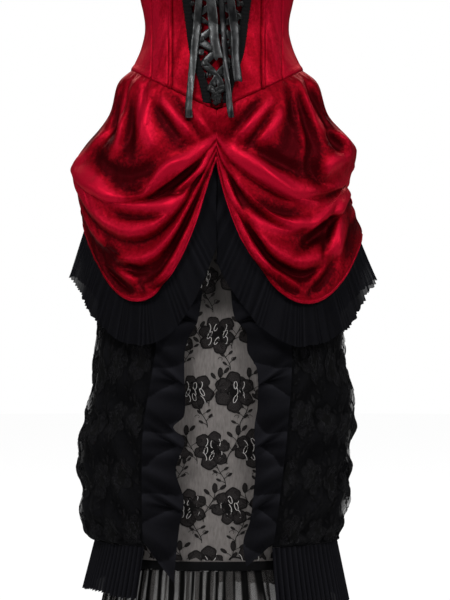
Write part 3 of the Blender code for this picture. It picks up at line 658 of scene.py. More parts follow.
def ribbonPoints(route, width, samples, twist=None, curl=0.0010, taper=None, wave=0.0):
    # a flat ribbon on the bodice: the route runs across, up, and out from the velvet
    line = smoothPath(route, samples)
    share = np.linspace(0, 1, samples)
    tangent = np.gradient(line, axis=0)
    flat = np.stack([tangent[:, 1], -tangent[:, 0]], axis=1)
    flat /= np.maximum(np.linalg.norm(flat, axis=1, keepdims=True), 1e-9)
    flat *= np.where(flat[:, :1] < 0, -1, 1)
    turn = np.zeros(samples) if twist is None else twist(share)
    half = width / 2 * (np.ones(samples) if taper is None else taper(share))
    columns = 7
    points = np.zeros((samples, columns, 3))
    for c, place in enumerate(np.linspace(-1, 1, columns)):
        reach = half * place * np.cos(turn)
        x = line[:, 0] + flat[:, 0] * reach
        z = line[:, 1] + flat[:, 1] * reach
        out = line[:, 2] + half * place * np.sin(turn) - curl * place**2 + wave * np.sin(share * 23 + place)
        points[:, c] = bodyPoints(np.where(x < 0, -1, 1), angleAt(np.abs(x), z), z, bodice["cloth"] + out)
    return points


def addRibbon(node, points, finish, thickness):
    return addCloth(f"{node}_ribbon", points, finish, [node], thickness=thickness)


def addLacing():
    levels = [lacing["lowest"] + lacing["step"] * k for k in range(lacing["levels"])]
    pieces = []
    for k, height in enumerate(levels[:-1]):
        for sideName, side in sides.items():
            start = float(atHeight(opening, "halfGap", height)) - 0.006
            stop = float(atHeight(opening, "halfGap", levels[k + 1])) - 0.006
            out = lacing["under"] if side < 0 else lacing["over"]
            route = [
                (side * start, height + 0.002, out),
                (side * start * 0.35, height + lacing["step"] * 0.36, out),
                (-side * stop * 0.35, height + lacing["step"] * 0.66, out),
                (-side * stop, levels[k + 1] - 0.002, out),
            ]
            lean = 0.5 + 0.12 * ((k * 3 + (side > 0)) % 4 - 1.5)
            turned = side * (0.55 + 0.18 * (k % 3))
            points = ribbonPoints(
                route,
                lacing["width"],
                30,
                twist=lambda t, lean=lean, turned=turned: turned * np.exp(-(((t - lean) / 0.16) ** 2)),
                curl=0.0006,
                taper=lambda t, lean=lean: 1 - 0.35 * np.exp(-(((t - lean) / 0.2) ** 2)),
            )
            name = f"lacing_{k + 1}_{sideName}"
            pieces.append(addRibbon(name, points, finishes["lacingSatin"], lacing["thickness"]))
    start = float(atHeight(opening, "halfGap", levels[0])) - 0.001
    bar = lacing["bar"]
    low = levels[0]
    route = [(-start, low - 0.001, bar), (-0.003, low - 0.006, bar), (start, low - 0.002, bar)]
    twist = lambda t: 0.5 * np.sin(t * 6)
    points = ribbonPoints(route, lacing["width"], 24, twist=twist, curl=0.0012, wave=0.0003)
    pieces.append(addRibbon("lacing_bar", points, finishes["lacingSatin"], lacing["thickness"]))
    return pieces


def joinGrids(grids):
    # several separate grids of points as one list of points and faces
    points, faces, start = [], [], 0
    for grid in grids:
        rows, columns = grid.shape[:2]
        index = np.arange(rows * columns).reshape(rows, columns) + start
        corners = [index[:-1, :-1], index[:-1, 1:], index[1:, 1:], index[1:, :-1]]
        faces.append(np.stack(corners, axis=-1).reshape(-1, 4))
        points.append(grid.reshape(-1, 3))
        start += rows * columns
    return np.concatenate(points), np.concatenate(faces)


def addRibbonScraps(name, grids):
    points, faces = joinGrids(grids)
    piece = addMesh(name, points, faces, finishes["lacingSatin"])
    wall = piece.modifiers.new("cloth thickness", "SOLIDIFY")
    wall.thickness = 0.0004
    wall.offset = -1
    return piece


def addTabs(sideName, side):
    # folded ribbon loops along the edge of the opening, which the lacing runs through
    grids = []
    for k in range(2 * lacing["levels"] - 1):
        height = lacing["lowest"] + lacing["step"] * k / 2
        edge = float(atHeight(opening, "halfGap", height))
        reach = lacing["tab"] * (0.85 + 0.25 * ((k * 5 + (side > 0)) % 3) / 2)
        reach = min(reach, edge * 0.55)
        lean = 0.0016 * ((k * 7) % 3 - 1)
        route = [
            (side * (edge + 0.002), height, 0.0034),
            (side * (edge - 0.3 * reach), height + lean * 0.4, 0.0066),
            (side * (edge - reach), height + lean, 0.0058),
        ]
        twist = lambda t, lean=lean: 150 * lean * t
        grids.append(ribbonPoints(route, lacing["tabWidth"], 10, twist=twist, curl=0.0008))
    return addRibbonScraps(f"placket_loops_{sideName}", grids)


def addCrumple():
    # the ends of the lacing, tucked in a bunch below the last crossing
    grids = []
    for route, turned in lacing["bunch"]:
        twist = lambda t, turned=turned: turned * np.sin(t * 5)
        grids.append(ribbonPoints(route, lacing["bunchWidth"], 22, twist=twist, curl=0.0010))
    return addRibbonScraps("lacing_bunch", grids)


placketPieces = [addPlacket(name, side) for name, side in sides.items()]
lacingPieces = addLacing()
tabPieces = [addTabs(name, side) for name, side in sides.items()]
bunchPiece = addCrumple()

bow = {
    "knotHeight": 0.131,
    "knotOut": 0.0115,
    "knotSize": (0.021, 0.015, 0.018),
    "thickness": 0.0004,
    "loop_left": {
        "width": 0.0135,
        "finish": "satin",
        "route": [
            (-0.0030, 0.121, 0.0185), (-0.0070, 0.085, 0.0165), (-0.0095, 0.047, 0.0150),
            (-0.0060, 0.005, 0.0145), (-0.0035, -0.030, 0.0145), (0.0020, -0.060, 0.0140),
        ],
    },
    "loop_right": {
        "width": 0.0120,
        "finish": "darkSatin",
        "route": [
            (0.0040, 0.121, 0.0130), (0.0120, 0.085, 0.0130), (0.0185, 0.047, 0.0130),
            (0.0260, -0.015, 0.0130), (0.0275, -0.055, 0.0130), (0.0315, -0.098, 0.0140),
        ],
    },
    "tail_left": {
        "width": 0.0115,
        "finish": "satin",
        "route": [
            (-0.0080, 0.121, 0.0090), (-0.0200, 0.075, 0.0095), (-0.0270, 0.030, 0.0100),
            (-0.0300, -0.015, 0.0100), (-0.0350, -0.060, 0.0100), (-0.0400, -0.110, 0.0105),
            (-0.0420, -0.140, 0.0130), (-0.0410, -0.163, 0.0160),
        ],
    },
    "tail_right": {
        "width": 0.0092,
        "finish": "darkSatin",
        "route": [
            (0.0050, 0.121, 0.0078), (0.0040, 0.080, 0.0078), (0.0070, 0.030, 0.0078),
            (0.0110, -0.020, 0.0078), (0.0140, -0.075, 0.0078), (0.0175, -0.115, 0.0090),
            (0.0190, -0.140, 0.0120), (0.0215, -0.163, 0.0160),
        ],
    },
}


def addBow():
    pieces = {}
    for name in ("loop_left", "loop_right"):
        front = bow[name]["route"]
        turn = [(front[-1][0], front[-1][1] - 0.0022, front[-1][2] - 0.0012)]
        back = [(x, z, out - 0.0030) for x, z, out in reversed(front)]
        points = ribbonPoints(
            front + turn + back,
            bow[name]["width"],
            150,
            curl=0.0006,
            taper=lambda t: 1 - 0.22 * np.exp(-(((t - 0.5) / 0.05) ** 2)) + 0.06 * np.sin(t * 31),
            wave=0.0004,
        )
        pieces[name] = addRibbon(f"bow_{name}", points, finishes[bow[name]["finish"]], bow["thickness"])
    for name in ("tail_left", "tail_right"):
        points = ribbonPoints(
            bow[name]["route"],
            bow[name]["width"],
            90,
            twist=lambda t: 0.45 * np.sin(t * 9 + 0.5),
            curl=0.0009,
            taper=lambda t: 1 - 0.4 * np.exp(-((t / 0.12) ** 2)) + 0.08 * np.sin(t * 17),
        )
        pieces[name] = addRibbon(f"bow_{name}", points, finishes[bow[name]["finish"]], bow["thickness"])
    return pieces


bowPieces = addBow()
print("dress: opening laced and bow tied")


# Velvet overskirt. Each row of a table is a fold line from the waist seam to the hem.

overskirt = {
    "shape": {"front": {"left": 1.22, "right": 0.76}, "back": {"left": 0.90, "right": 0.90}, "side": 0.85},
    "pinchDepth": {"front": 0.121, "back": 0.205},
    "pinchSpread": radians(13),
    "pleats": {"count": 3, "first": radians(38), "last": radians(90), "depth": 0.0055},
    "thickness": 0.0018,
}
# How lit the velvet is painted along each fold line: painted highlight on most folds, painted shade in the
# troughs.
paintedLightOf = {
    "gathers": 0.45,
    "hip": 0.42,
    "yoke": 0.28,
    "first fold": 0.92,
    "first trough": 0.16,
    "second fold": 0.88,
    "second trough": 0.04,
    "third fold": 0.76,
    "third trough": 0.12,
    "hem fold": 0.30,
    "hem": 0.80,
}
frontFolds = {
    "left": [
        ("gathers", -0.160, -0.096, 0.000, 0.165, 0.120),
        ("hip", -0.171, -0.150, 0.010, 0.180, 0.132),
        ("yoke", -0.184, -0.200, 0.032, 0.221, 0.138),
        ("first fold", -0.192, -0.2366, 0.070, 0.2434, 0.156),
        ("first trough", -0.198, -0.246, 0.081, 0.240, 0.143),
        ("second fold", -0.204, -0.261, 0.113, 0.2385, 0.165),
        ("second trough", -0.209, -0.271, 0.124, 0.2345, 0.150),
        ("third fold", -0.214, -0.290, 0.139, 0.2315, 0.168),
        ("third trough", -0.219, -0.300, 0.149, 0.2275, 0.158),
        ("hem fold", -0.224, -0.317, 0.173, 0.226, 0.171),
        ("hem", -0.227, -0.324, 0.182, 0.224, 0.168),
    ],
    "right": [
        ("gathers", -0.160, -0.096, 0.000, 0.168, 0.120),
        ("hip", -0.171, -0.150, 0.010, 0.186, 0.132),
        ("yoke", -0.184, -0.204, 0.024, 0.2315, 0.138),
        ("first fold", -0.192, -0.256, 0.048, 0.222, 0.156),
        ("first trough", -0.198, -0.265, 0.060, 0.216, 0.144),
        ("second fold", -0.204, -0.280, 0.087, 0.224, 0.163),
        ("second trough", -0.209, -0.290, 0.099, 0.222, 0.148),
        ("third fold", -0.214, -0.308, 0.130, 0.231, 0.171),
        ("third trough", -0.219, -0.322, 0.142, 0.234, 0.157),
        ("hem fold", -0.224, -0.342, 0.162, 0.242, 0.171),
        ("hem", -0.227, -0.350, 0.170, 0.243, 0.168),
    ],
}
backFolds = {
    "left": [
        ("gathers", -0.125, -0.096, 0.000, 0.165, 0.150),
        ("hip", -0.165, -0.150, 0.008, 0.180, 0.190),
        ("yoke", -0.203, -0.200, 0.022, 0.221, 0.222),
        ("first fold", -0.235, -0.2366, 0.040, 0.2434, 0.248),
        ("first trough", -0.246, -0.249, 0.050, 0.232, 0.224),
        ("second fold", -0.270, -0.274, 0.074, 0.236, 0.246),
        ("second trough", -0.281, -0.285, 0.084, 0.226, 0.222),
        ("hem fold", -0.304, -0.310, 0.108, 0.229, 0.242),
        ("hem", -0.314, -0.324, 0.120, 0.224, 0.236),
    ],
    "right": [
        ("gathers", -0.125, -0.096, 0.000, 0.168, 0.150),
        ("hip", -0.165, -0.150, 0.008, 0.186, 0.190),
        ("yoke", -0.203, -0.204, 0.022, 0.2315, 0.222),
        ("first fold", -0.235, -0.256, 0.040, 0.222, 0.248),
        ("first trough", -0.246, -0.268, 0.050, 0.216, 0.224),
        ("second fold", -0.270, -0.293, 0.074, 0.227, 0.246),
        ("second trough", -0.281, -0.306, 0.084, 0.226, 0.222),
        ("hem fold", -0.304, -0.338, 0.098, 0.242, 0.242),
        ("hem", -0.314, -0.350, 0.108, 0.243, 0.236),
    ],
}

# Smaller folds and troughs: name, half width, lift, and points across and up, seen square on.
creases = {
    "left": [
        ("hip trough", 0.0085, -0.0060, [
            (-0.135, -0.108), (-0.140, -0.150), (-0.143, -0.199), (-0.140, -0.228),
        ]),
        ("outer hip trough", 0.006, -0.0045, [
            (-0.156, -0.100), (-0.165, -0.140), (-0.170, -0.181), (-0.182, -0.213),
        ]),
        ("outer hip fold", 0.006, 0.0040, [
            (-0.146, -0.097), (-0.155, -0.141), (-0.160, -0.190), (-0.172, -0.227),
        ]),
        ("hip fold", 0.011, 0.0060, [
            (-0.123, -0.105), (-0.123, -0.143), (-0.115, -0.183), (-0.098, -0.220),
        ]),
        ("yoke trough", 0.010, -0.0070, [(-0.105, -0.133), (-0.084, -0.168), (-0.056, -0.204)]),
        ("yoke fold", 0.007, 0.0060, [(-0.095, -0.127), (-0.072, -0.155), (-0.041, -0.198)]),
        ("inner yoke trough", 0.008, -0.0040, [(-0.076, -0.123), (-0.051, -0.156), (-0.022, -0.195)]),
        ("inner yoke fold", 0.007, 0.0030, [(-0.051, -0.136), (-0.033, -0.166), (-0.011, -0.195)]),
        ("ear pocket", 0.011, -0.0090, [
            (-0.203, -0.212), (-0.186, -0.236), (-0.155, -0.254), (-0.121, -0.250), (-0.095, -0.229),
        ]),
        ("ear edge", 0.007, 0.0050, [
            (-0.175, -0.177), (-0.201, -0.195), (-0.226, -0.222), (-0.238, -0.238),
        ]),
        ("ear fold", 0.015, 0.0050, [
            (-0.236, -0.238), (-0.226, -0.256), (-0.207, -0.274), (-0.183, -0.288),
        ]),
        ("short fold", 0.0045, 0.0040, [
            (-0.069, -0.283), (-0.050, -0.269), (-0.022, -0.242), (-0.007, -0.217),
        ]),
        ("short trough", 0.005, -0.0050, [(-0.079, -0.291), (-0.053, -0.282), (-0.020, -0.250)]),
        ("small pocket", 0.007, -0.0090, [(-0.186, -0.368), (-0.172, -0.381), (-0.156, -0.388)]),
        ("lower fold", 0.006, 0.0050, [
            (-0.196, -0.390), (-0.165, -0.412), (-0.135, -0.429), (-0.115, -0.453),
        ]),
        ("tuck", 0.0045, -0.0040, [(-0.113, -0.458), (-0.121, -0.442), (-0.131, -0.429)]),
        ("edge fold", 0.006, 0.0040, [
            (-0.108, -0.447), (-0.082, -0.418), (-0.056, -0.371), (-0.032, -0.317), (-0.009, -0.253),
        ]),
        ("edge trough", 0.006, -0.0050, [
            (-0.128, -0.435), (-0.095, -0.411), (-0.067, -0.369), (-0.041, -0.317), (-0.016, -0.259),
        ]),
        ("lower trough", 0.009, -0.0050, [(-0.207, -0.360), (-0.186, -0.397), (-0.151, -0.437)]),
        ("first hollow", 0.013, -0.0090, [
            (-0.195, -0.248), (-0.173, -0.268), (-0.149, -0.281), (-0.125, -0.281), (-0.102, -0.266),
            (-0.082, -0.250),
        ]),
        ("first lip", 0.0085, 0.0080, [
            (-0.202, -0.271), (-0.176, -0.294), (-0.141, -0.306), (-0.108, -0.309), (-0.084, -0.306),
            (-0.064, -0.293),
        ]),
        ("under lip", 0.006, -0.0060, [
            (-0.176, -0.317), (-0.143, -0.324), (-0.111, -0.324), (-0.082, -0.319),
        ]),
        ("hem hollow", 0.008, -0.0080, [
            (-0.189, -0.398), (-0.172, -0.419), (-0.150, -0.439), (-0.130, -0.447),
        ]),
        ("under third fold", 0.007, -0.0060, [(-0.153, -0.401), (-0.127, -0.413), (-0.098, -0.408)]),
        ("hem corner hollow", 0.006, -0.0070, [(-0.105, -0.442), (-0.085, -0.435), (-0.067, -0.422)]),
        ("side hollow", 0.010, -0.0035, [(-0.196, -0.170), (-0.212, -0.197), (-0.231, -0.227)]),
        ("strap", 0.0075, 0.0075, [
            (-0.017, -0.207), (-0.048, -0.231), (-0.079, -0.244), (-0.103, -0.267), (-0.123, -0.289),
        ]),
        ("strap hollow", 0.008, -0.0080, [
            (-0.020, -0.230), (-0.046, -0.253), (-0.072, -0.272), (-0.105, -0.293),
        ]),
    ],
    "right": [
        ("hip trough", 0.007, -0.0050, [
            (0.149, -0.100), (0.166, -0.132), (0.186, -0.172), (0.209, -0.203),
        ]),
        ("hip fold", 0.005, 0.0050, [(0.139, -0.101), (0.152, -0.141), (0.178, -0.181), (0.200, -0.212)]),
        ("thin hip fold", 0.0035, 0.0040, [
            (0.127, -0.121), (0.134, -0.158), (0.141, -0.199), (0.142, -0.240),
        ]),
        ("inner hip trough", 0.0085, -0.0060, [
            (0.134, -0.109), (0.144, -0.150), (0.156, -0.198), (0.164, -0.239),
        ]),
        ("yoke hollow", 0.012, -0.0055, [
            (0.116, -0.118), (0.124, -0.159), (0.121, -0.200), (0.108, -0.226),
        ]),
        ("yoke fold", 0.008, 0.0070, [(0.111, -0.141), (0.090, -0.176), (0.062, -0.212)]),
        ("yoke trough", 0.008, -0.0060, [(0.098, -0.142), (0.075, -0.175), (0.049, -0.212)]),
        ("inner yoke fold", 0.007, 0.0060, [(0.091, -0.131), (0.065, -0.162), (0.033, -0.201)]),
        ("inner yoke trough", 0.008, -0.0050, [(0.075, -0.128), (0.054, -0.152), (0.023, -0.190)]),
        ("edge highlight", 0.005, 0.0035, [(0.065, -0.099), (0.051, -0.117), (0.036, -0.136)]),
        ("ear pocket", 0.008, -0.0110, [(0.178, -0.176), (0.193, -0.196), (0.209, -0.216)]),
        ("ear edge", 0.005, 0.0050, [(0.178, -0.172), (0.204, -0.187), (0.230, -0.206)]),
        ("ear fold", 0.008, 0.0060, [(0.228, -0.210), (0.207, -0.223), (0.188, -0.236), (0.173, -0.251)]),
        ("side pocket", 0.014, -0.0120, [
            (0.146, -0.215), (0.157, -0.244), (0.179, -0.266), (0.200, -0.258),
        ]),
        ("deep hollow", 0.012, -0.0080, [
            (0.054, -0.212), (0.090, -0.230), (0.127, -0.248), (0.149, -0.267),
        ]),
        ("lower pocket", 0.009, -0.0120, [
            (0.136, -0.378), (0.152, -0.363), (0.173, -0.347), (0.190, -0.328),
        ]),
        ("short fold", 0.0040, 0.0030, [
            (0.132, -0.362), (0.162, -0.334), (0.191, -0.303), (0.213, -0.275),
        ]),
        ("outer fold", 0.007, 0.0080, [
            (0.213, -0.282), (0.202, -0.319), (0.198, -0.361), (0.200, -0.404),
        ]),
        ("outer trough", 0.007, -0.0070, [
            (0.207, -0.294), (0.190, -0.336), (0.179, -0.369), (0.178, -0.399),
        ]),
        ("outermost trough", 0.006, -0.0040, [(0.224, -0.304), (0.222, -0.343), (0.218, -0.383)]),
        ("lower fold", 0.006, 0.0060, [
            (0.057, -0.382), (0.083, -0.406), (0.111, -0.426), (0.137, -0.445),
        ]),
        ("lower trough", 0.007, -0.0060, [
            (0.073, -0.388), (0.104, -0.408), (0.137, -0.421), (0.166, -0.409),
        ]),
        ("inner lower trough", 0.005, -0.0050, [(0.046, -0.372), (0.073, -0.411), (0.111, -0.442)]),
        ("tuck", 0.0045, -0.0040, [(0.147, -0.460), (0.152, -0.440), (0.162, -0.424)]),
        ("edge fold", 0.005, 0.0040, [
            (0.007, -0.238), (0.022, -0.290), (0.043, -0.347), (0.073, -0.398), (0.111, -0.434),
        ]),
        ("edge trough", 0.006, -0.0050, [
            (0.015, -0.240), (0.035, -0.292), (0.059, -0.350), (0.086, -0.392),
        ]),
        ("first lip", 0.009, 0.0080, [
            (0.028, -0.216), (0.057, -0.234), (0.087, -0.259), (0.114, -0.280), (0.143, -0.297),
            (0.176, -0.302),
        ]),
        ("under lip", 0.009, -0.0075, [
            (0.047, -0.282), (0.080, -0.308), (0.115, -0.319), (0.151, -0.319),
        ]),
        ("hem hollow", 0.007, -0.0065, [
            (0.073, -0.398), (0.096, -0.422), (0.122, -0.444), (0.138, -0.450),
        ]),
        ("hem corner hollow", 0.006, -0.0065, [(0.155, -0.447), (0.172, -0.430), (0.185, -0.411)]),
        ("hem corner fold", 0.005, 0.0055, [
            (0.146, -0.453), (0.155, -0.432), (0.170, -0.411), (0.185, -0.388),
        ]),
        ("second lip", 0.008, 0.0065, [
            (0.035, -0.304), (0.060, -0.329), (0.086, -0.342), (0.114, -0.348), (0.138, -0.335),
        ]),
    ],
}


def foldRow(sideName, half, fold, angle):
    _, centre, sideHeight, sag, width, depth = fold
    share = np.sin(angle)
    gathered = np.exp(-((angle / overskirt["pinchSpread"]) ** 2))
    depth = blend(depth, min(overskirt["pinchDepth"][half], depth), gathered)
    shape = np.where(share < 0.5, overskirt["shape"][half][sideName], overskirt["shape"]["side"])
    height = blend(centre, sideHeight, share) - sag * np.maximum(4 * share * (1 - share), 0) ** shape
    y = -depth * np.cos(angle)
    return np.stack([sides[sideName] * width * share, y if half == "front" else -y, height], axis=-1)


def hipPleats(side, half, angle, at):
    pleats = overskirt["pleats"]
    span = (angle - pleats["first"]) / (pleats["last"] - pleats["first"])
    inside = (span > 0) & (span < 1) & (at > 0) & (at < 3.5)
    span = np.clip(span, 0, 1)
    strength = np.sqrt(np.sin(pi * span).clip(0)) * np.sin(pi * np.clip(at, 0, 3.5) / 3.5) * inside
    wave = pleats["depth"] * strength * np.cos(2 * pi * pleats["count"] * span)
    y = -np.cos(angle) if half == "front" else np.cos(angle)
    return wave[..., None] * np.stack([side * np.sin(angle), y, 0 * angle], axis=-1)


def velvetPoints(sideName, half, share, fold):
    # share runs from the middle to the side seam and fold from the waist to the hem, both as grids
    side = sides[sideName]
    angle = share * pi / 2
    bodyAngle = angle if half == "front" else pi - angle
    table = (frontFolds if half == "front" else backFolds)[sideName]
    waist = bodyPoints(side, bodyAngle, bodiceLow(bodyAngle) - 0.0004, bodice["cloth"])
    rows = np.stack([waist] + [foldRow(sideName, half, row, angle) for row in table])
    padded = np.concatenate([2 * rows[:1] - rows[1:2], rows, 2 * rows[-1:] - rows[-2:-1]])
    at = fold * (len(rows) - 1)
    i = np.clip(np.floor(at).astype(int), 0, len(rows) - 2)
    f = (at - i)[..., None]
    a, b, c, d = (np.take_along_axis(padded, (i + k)[None, ..., None], axis=0)[0] for k in range(4))
    points = 0.5 * (2 * b + (c - a) * f + (2 * a - 5 * b + 4 * c - d) * f**2 + (3 * b - a - 3 * c + d) * f**3)
    return points + hipPleats(side, half, angle, at)


def creasesFor(sideName, half):
    if half == "front":
        return creases[sideName]
    other = creases["right" if sideName == "left" else "left"]  # like folds on the hidden side, turned about
    turned = []
    for name, width, lift, points in other:
        turned.append((name, width, lift * 0.9, [(-x, z + 0.004 - 0.05 * abs(x)) for x, z in points]))
    return turned


def addOverskirt():
    pieces = {}
    columns, rows = 145, 130
    share, fold = np.meshgrid(np.linspace(0, 1, columns), np.linspace(0, 1, rows))
    for half in ("front", "back"):
        for sideName, side in sides.items():
            points = velvetPoints(sideName, half, share, fold)
            normals = gridNormals(points)
            lift, creaseLight = creaseHeight(points[..., 0], points[..., 2], creasesFor(sideName, half))
            lift += 0.0004 * wander(share * 5 + fold * 3, 5 + side)
            still = np.clip(fold / 0.05, 0, 1) * np.clip(share / 0.03, 0, 1)
            still = still * np.clip((1 - share) / 0.05, 0, 1)
            points = points + normals * (lift * still)[..., None]
            puckers = 0.0004 * np.sin(share * 95 + 2 * wander(share, 21 + side))
            puckers = puckers * np.exp(-((fold / 0.10) ** 2)) * np.clip(fold / 0.015, 0, 1)
            points = points + normals * puckers[..., None]
            roll = 0.0016 * np.exp(-(((fold - 0.985) / 0.010) ** 2))
            points = points + normals * roll[..., None]
            points[..., 0] = side * np.maximum(side * points[..., 0], 0)
            halfSign = -1 if half == "front" else 1
            points[..., 1] = halfSign * np.maximum(halfSign * points[..., 1], 0)
            table = (frontFolds if half == "front" else backFolds)[sideName]
            rowLight = np.array([paintedLightOf[row[0]] for row in table])
            nap = np.interp(fold * len(rowLight), np.arange(len(rowLight) + 1), np.concatenate([[0.45], rowLight]))
            # painted highlight along the raised creases and painted shade along the troughs
            nap = nap + 0.70 * creaseLight
            name = f"velvet_{half}_{sideName}"
            marks = {"nap": np.clip(nap, 0, 1)}
            pieces[name] = addVelvet(f"{name}_swag", points, name, overskirt["thickness"], marks)
    return pieces


swagPieces = addOverskirt()
print("dress: velvet draped")


# Pleated mesh on the velvet hem

hemRuffle = {
    "length": 0.074,
    "tuck": 0.004,
    "flare": 0.62,
    "lift": 0.004,
    "sideFlare": 0.032,
    "sideLength": {"left": 0.30, "right": 0.06},  # what it gains in length towards the side seam
    "pleats": 34,
    "pleatDepth": 0.0080,
}


def pleatWave(phase):
    # a knife pleat: a long rise and a short return, a little rounded
    f = phase - np.floor(phase)
    return np.where(f < 0.72, -1 + 2 * f / 0.72, 1 - 2 * (f - 0.72) / 0.28)


def hemRufflePoints(sideName, half, share, reach):
    side = sides[sideName]
    step = 1e-3
    hem = np.ones_like(share)
    here = velvetPoints(sideName, half, share, hem)
    after = velvetPoints(sideName, half, np.minimum(share + step, 1), hem)
    before = velvetPoints(sideName, half, np.maximum(share - step, 0), hem)
    alongHem = after - before
    alongHem /= np.linalg.norm(alongHem, axis=-1, keepdims=True)
    angle = share * pi / 2
    y = -np.cos(angle) if half == "front" else np.cos(angle)
    out = np.stack([side * np.sin(angle), y, 0 * angle], axis=-1)
    away = np.cross(alongHem, out)
    away *= np.where(away[..., 2:] > 0, -1, 1)
    fall = np.array((0, 0, -1.0)) + hemRuffle["flare"] * away
    fall /= np.linalg.norm(fall, axis=-1, keepdims=True)
    start = here - out * (bodice["cloth"] + hemRuffle["tuck"]) - fall * hemRuffle["lift"]
    count = hemRuffle["pleats"]
    phase = share * count + 2.4 * wander(share * 2.3, 31 + side + (half == "back") * 5)
    phase = phase + 0.3 * reach * wander(share * 9, 7)
    wave = np.sin(2 * pi * phase + 0.6 * np.sin(2 * pi * phase))
    broad = wander(share * 4, 17 + side)
    longer = 1 + 0.004 * wave + 0.030 * wander(share * 3, 12 + side)
    longer = longer + hemRuffle["sideLength"][sideName] * share**4
    points = start + fall * (reach * longer * hemRuffle["length"])[..., None]
    gathers = hemRuffle["pleatDepth"] * (0.30 * wave * (0.7 + 0.3 * broad) + 0.55 * broad)
    gathers = gathers * (0.12 + 0.88 * reach)
    points += out * (gathers + hemRuffle["sideFlare"] * reach * share**2)[..., None]
    points[..., 0] = side * np.maximum(side * points[..., 0], 0)
    return points, wave


def addHemRuffles():
    pieces = {}
    columns, rows = hemRuffle["pleats"] * 12 + 1, 14
    share, reach = np.meshgrid(np.linspace(0, 1, columns), np.linspace(0, 1, rows))
    for half in ("front", "back"):
        for sideName in sides:
            points, wave = hemRufflePoints(sideName, half, share, reach)
            sheer = smoothStep((share - 0.72) / 0.2) * smoothStep((reach - 0.35) / 0.5)
            broadFolds = wander(share * 6, 18 + sides[sideName])
            thick = 0.985 * (1 - sheer) + 0.25 * sheer * (wave > 0.3)
            # painted highlight on the outer ridges of the pleats, painted shade in their hollows
            marks = {"thick": thick, "fold": np.clip(0.26 + 0.20 * wave * (0.6 + 0.6 * broadFolds), 0, 0.7)}
            name = f"hem_ruffle_{half}_{sideName}"
            finish = finishes["mesh"]
            pieces[name] = addCloth(f"{name}_pleats", points, finish, [name], marks=marks)
    return pieces


rufflePieces = addHemRuffles()
print("dress: hem ruffles pleated")


# Straight lace skirt with its band and flounce

innerSkirt = {
    "height": (-0.150, -0.300, -0.600, -0.886),
    "width": (0.150, 0.160, 0.172, 0.180),
    "front": (0.099, 0.104, 0.120, 0.130),
    "back": (0.112, 0.132, 0.154, 0.164),
    "waviness": 0.0022,
    "halfWidth": 0.245,  # of the cloth in front and of that behind, laid flat
    "plainTop": 0.12,  # length at the waist that carries no flowers
    "ruffleShadow": 0.72,  # painted shadow from the ruffles above, also standing for closer-worked lace: how much darker and denser the net is near the top, where that ends, and over what height
    "ruffleShadowFrom": 0.497,
    "ruffleShadowOver": 0.036,
}
hemBand = {"top": -0.8865, "height": 0.014, "thickness": 0.0018}
innerFlounce = {"top": -0.9012, "bottom": -1.020, "spread": 0.024, "pleats": 62, "pleatDepth": 0.0075}
flowers = {
    "across": 0.0605,
    "down": 0.094,
    "petal": 0.0172,
    "petals": 6,
    "firstRow": -0.5155,
    "firstAcross": 0.001,
    "standOff": 0.0006,
    "spray": 0.0172,  # length of the sprays beside the flowers and under them
    "smallSpray": 0.0125,
}


def skirtPoints(table, side, angle, height, out=0.0):
    return ringPoints(
        side,
        angle,
        atHeight(table, "width", height) + out,
        atHeight(table, "front", height) + out,
        atHeight(table, "back", height) + out,
        height,
    )


def innerWaves(angle, height):
    grow = np.clip((-height - 0.2) / 0.6, 0, 1)
    return innerSkirt["waviness"] * grow * (wander(angle / 2.2, 41) + 0.6 * wander(angle * 1.3 + height, 43))


def ellipse(centre, turn, length, width, count=14, frill=0.0):
    t = np.linspace(0, 2 * pi, count, endpoint=False)
    swell = 1 + frill * np.sin(t * 5)
    x, y = length * np.cos(t) * swell, width * np.sin(t) * swell
    across = centre[0] + x * cos(turn) - y * sin(turn)
    up = centre[1] + x * sin(turn) + y * cos(turn)
    return np.stack([across, up], axis=1)


def strip(points, width):
    line = np.array(points, float)
    tangent = np.gradient(line, axis=0)
    tangent /= np.linalg.norm(tangent, axis=1, keepdims=True)
    normal = np.stack([-tangent[:, 1], tangent[:, 0]], axis=1) * width / 2
    return line + normal, line - normal


class Motifs:
    # flat worked shapes on the cloth, gathered into one mesh
    def __init__(self):
        self.points = []
        self.faces = []
        self.rims = []

    def filled(self, outline, least=0.0):
        # a shape worked from its middle, in rings so that it can bend with the cloth
        start = len(self.points)
        middle = outline.mean(axis=0)
        count = len(outline)
        self.points.append(middle)
        self.rims.append(least)
        for share, rim in ((0.74, max(0.12, least)), (1.0, 1.0)):
            for point in outline:
                self.points.append(middle + (point - middle) * share)
                self.rims.append(rim)
        for k in range(count):
            n = (k + 1) % count
            self.faces.append((start, start + 1 + k, start + 1 + n, start + 1 + n))
            a = start + 1
            self.faces.append((a + k, a + count + k, a + count + n, a + n))

    def line(self, points, width, rim=1.0):
        start = len(self.points)
        left, right = strip(points, width)
        for a, b in zip(left, right):
            self.points += [a, b]
            self.rims += [rim, rim]
        for k in range(len(left) - 1):
            a = start + 2 * k
            self.faces.append((a, a + 2, a + 3, a + 1))


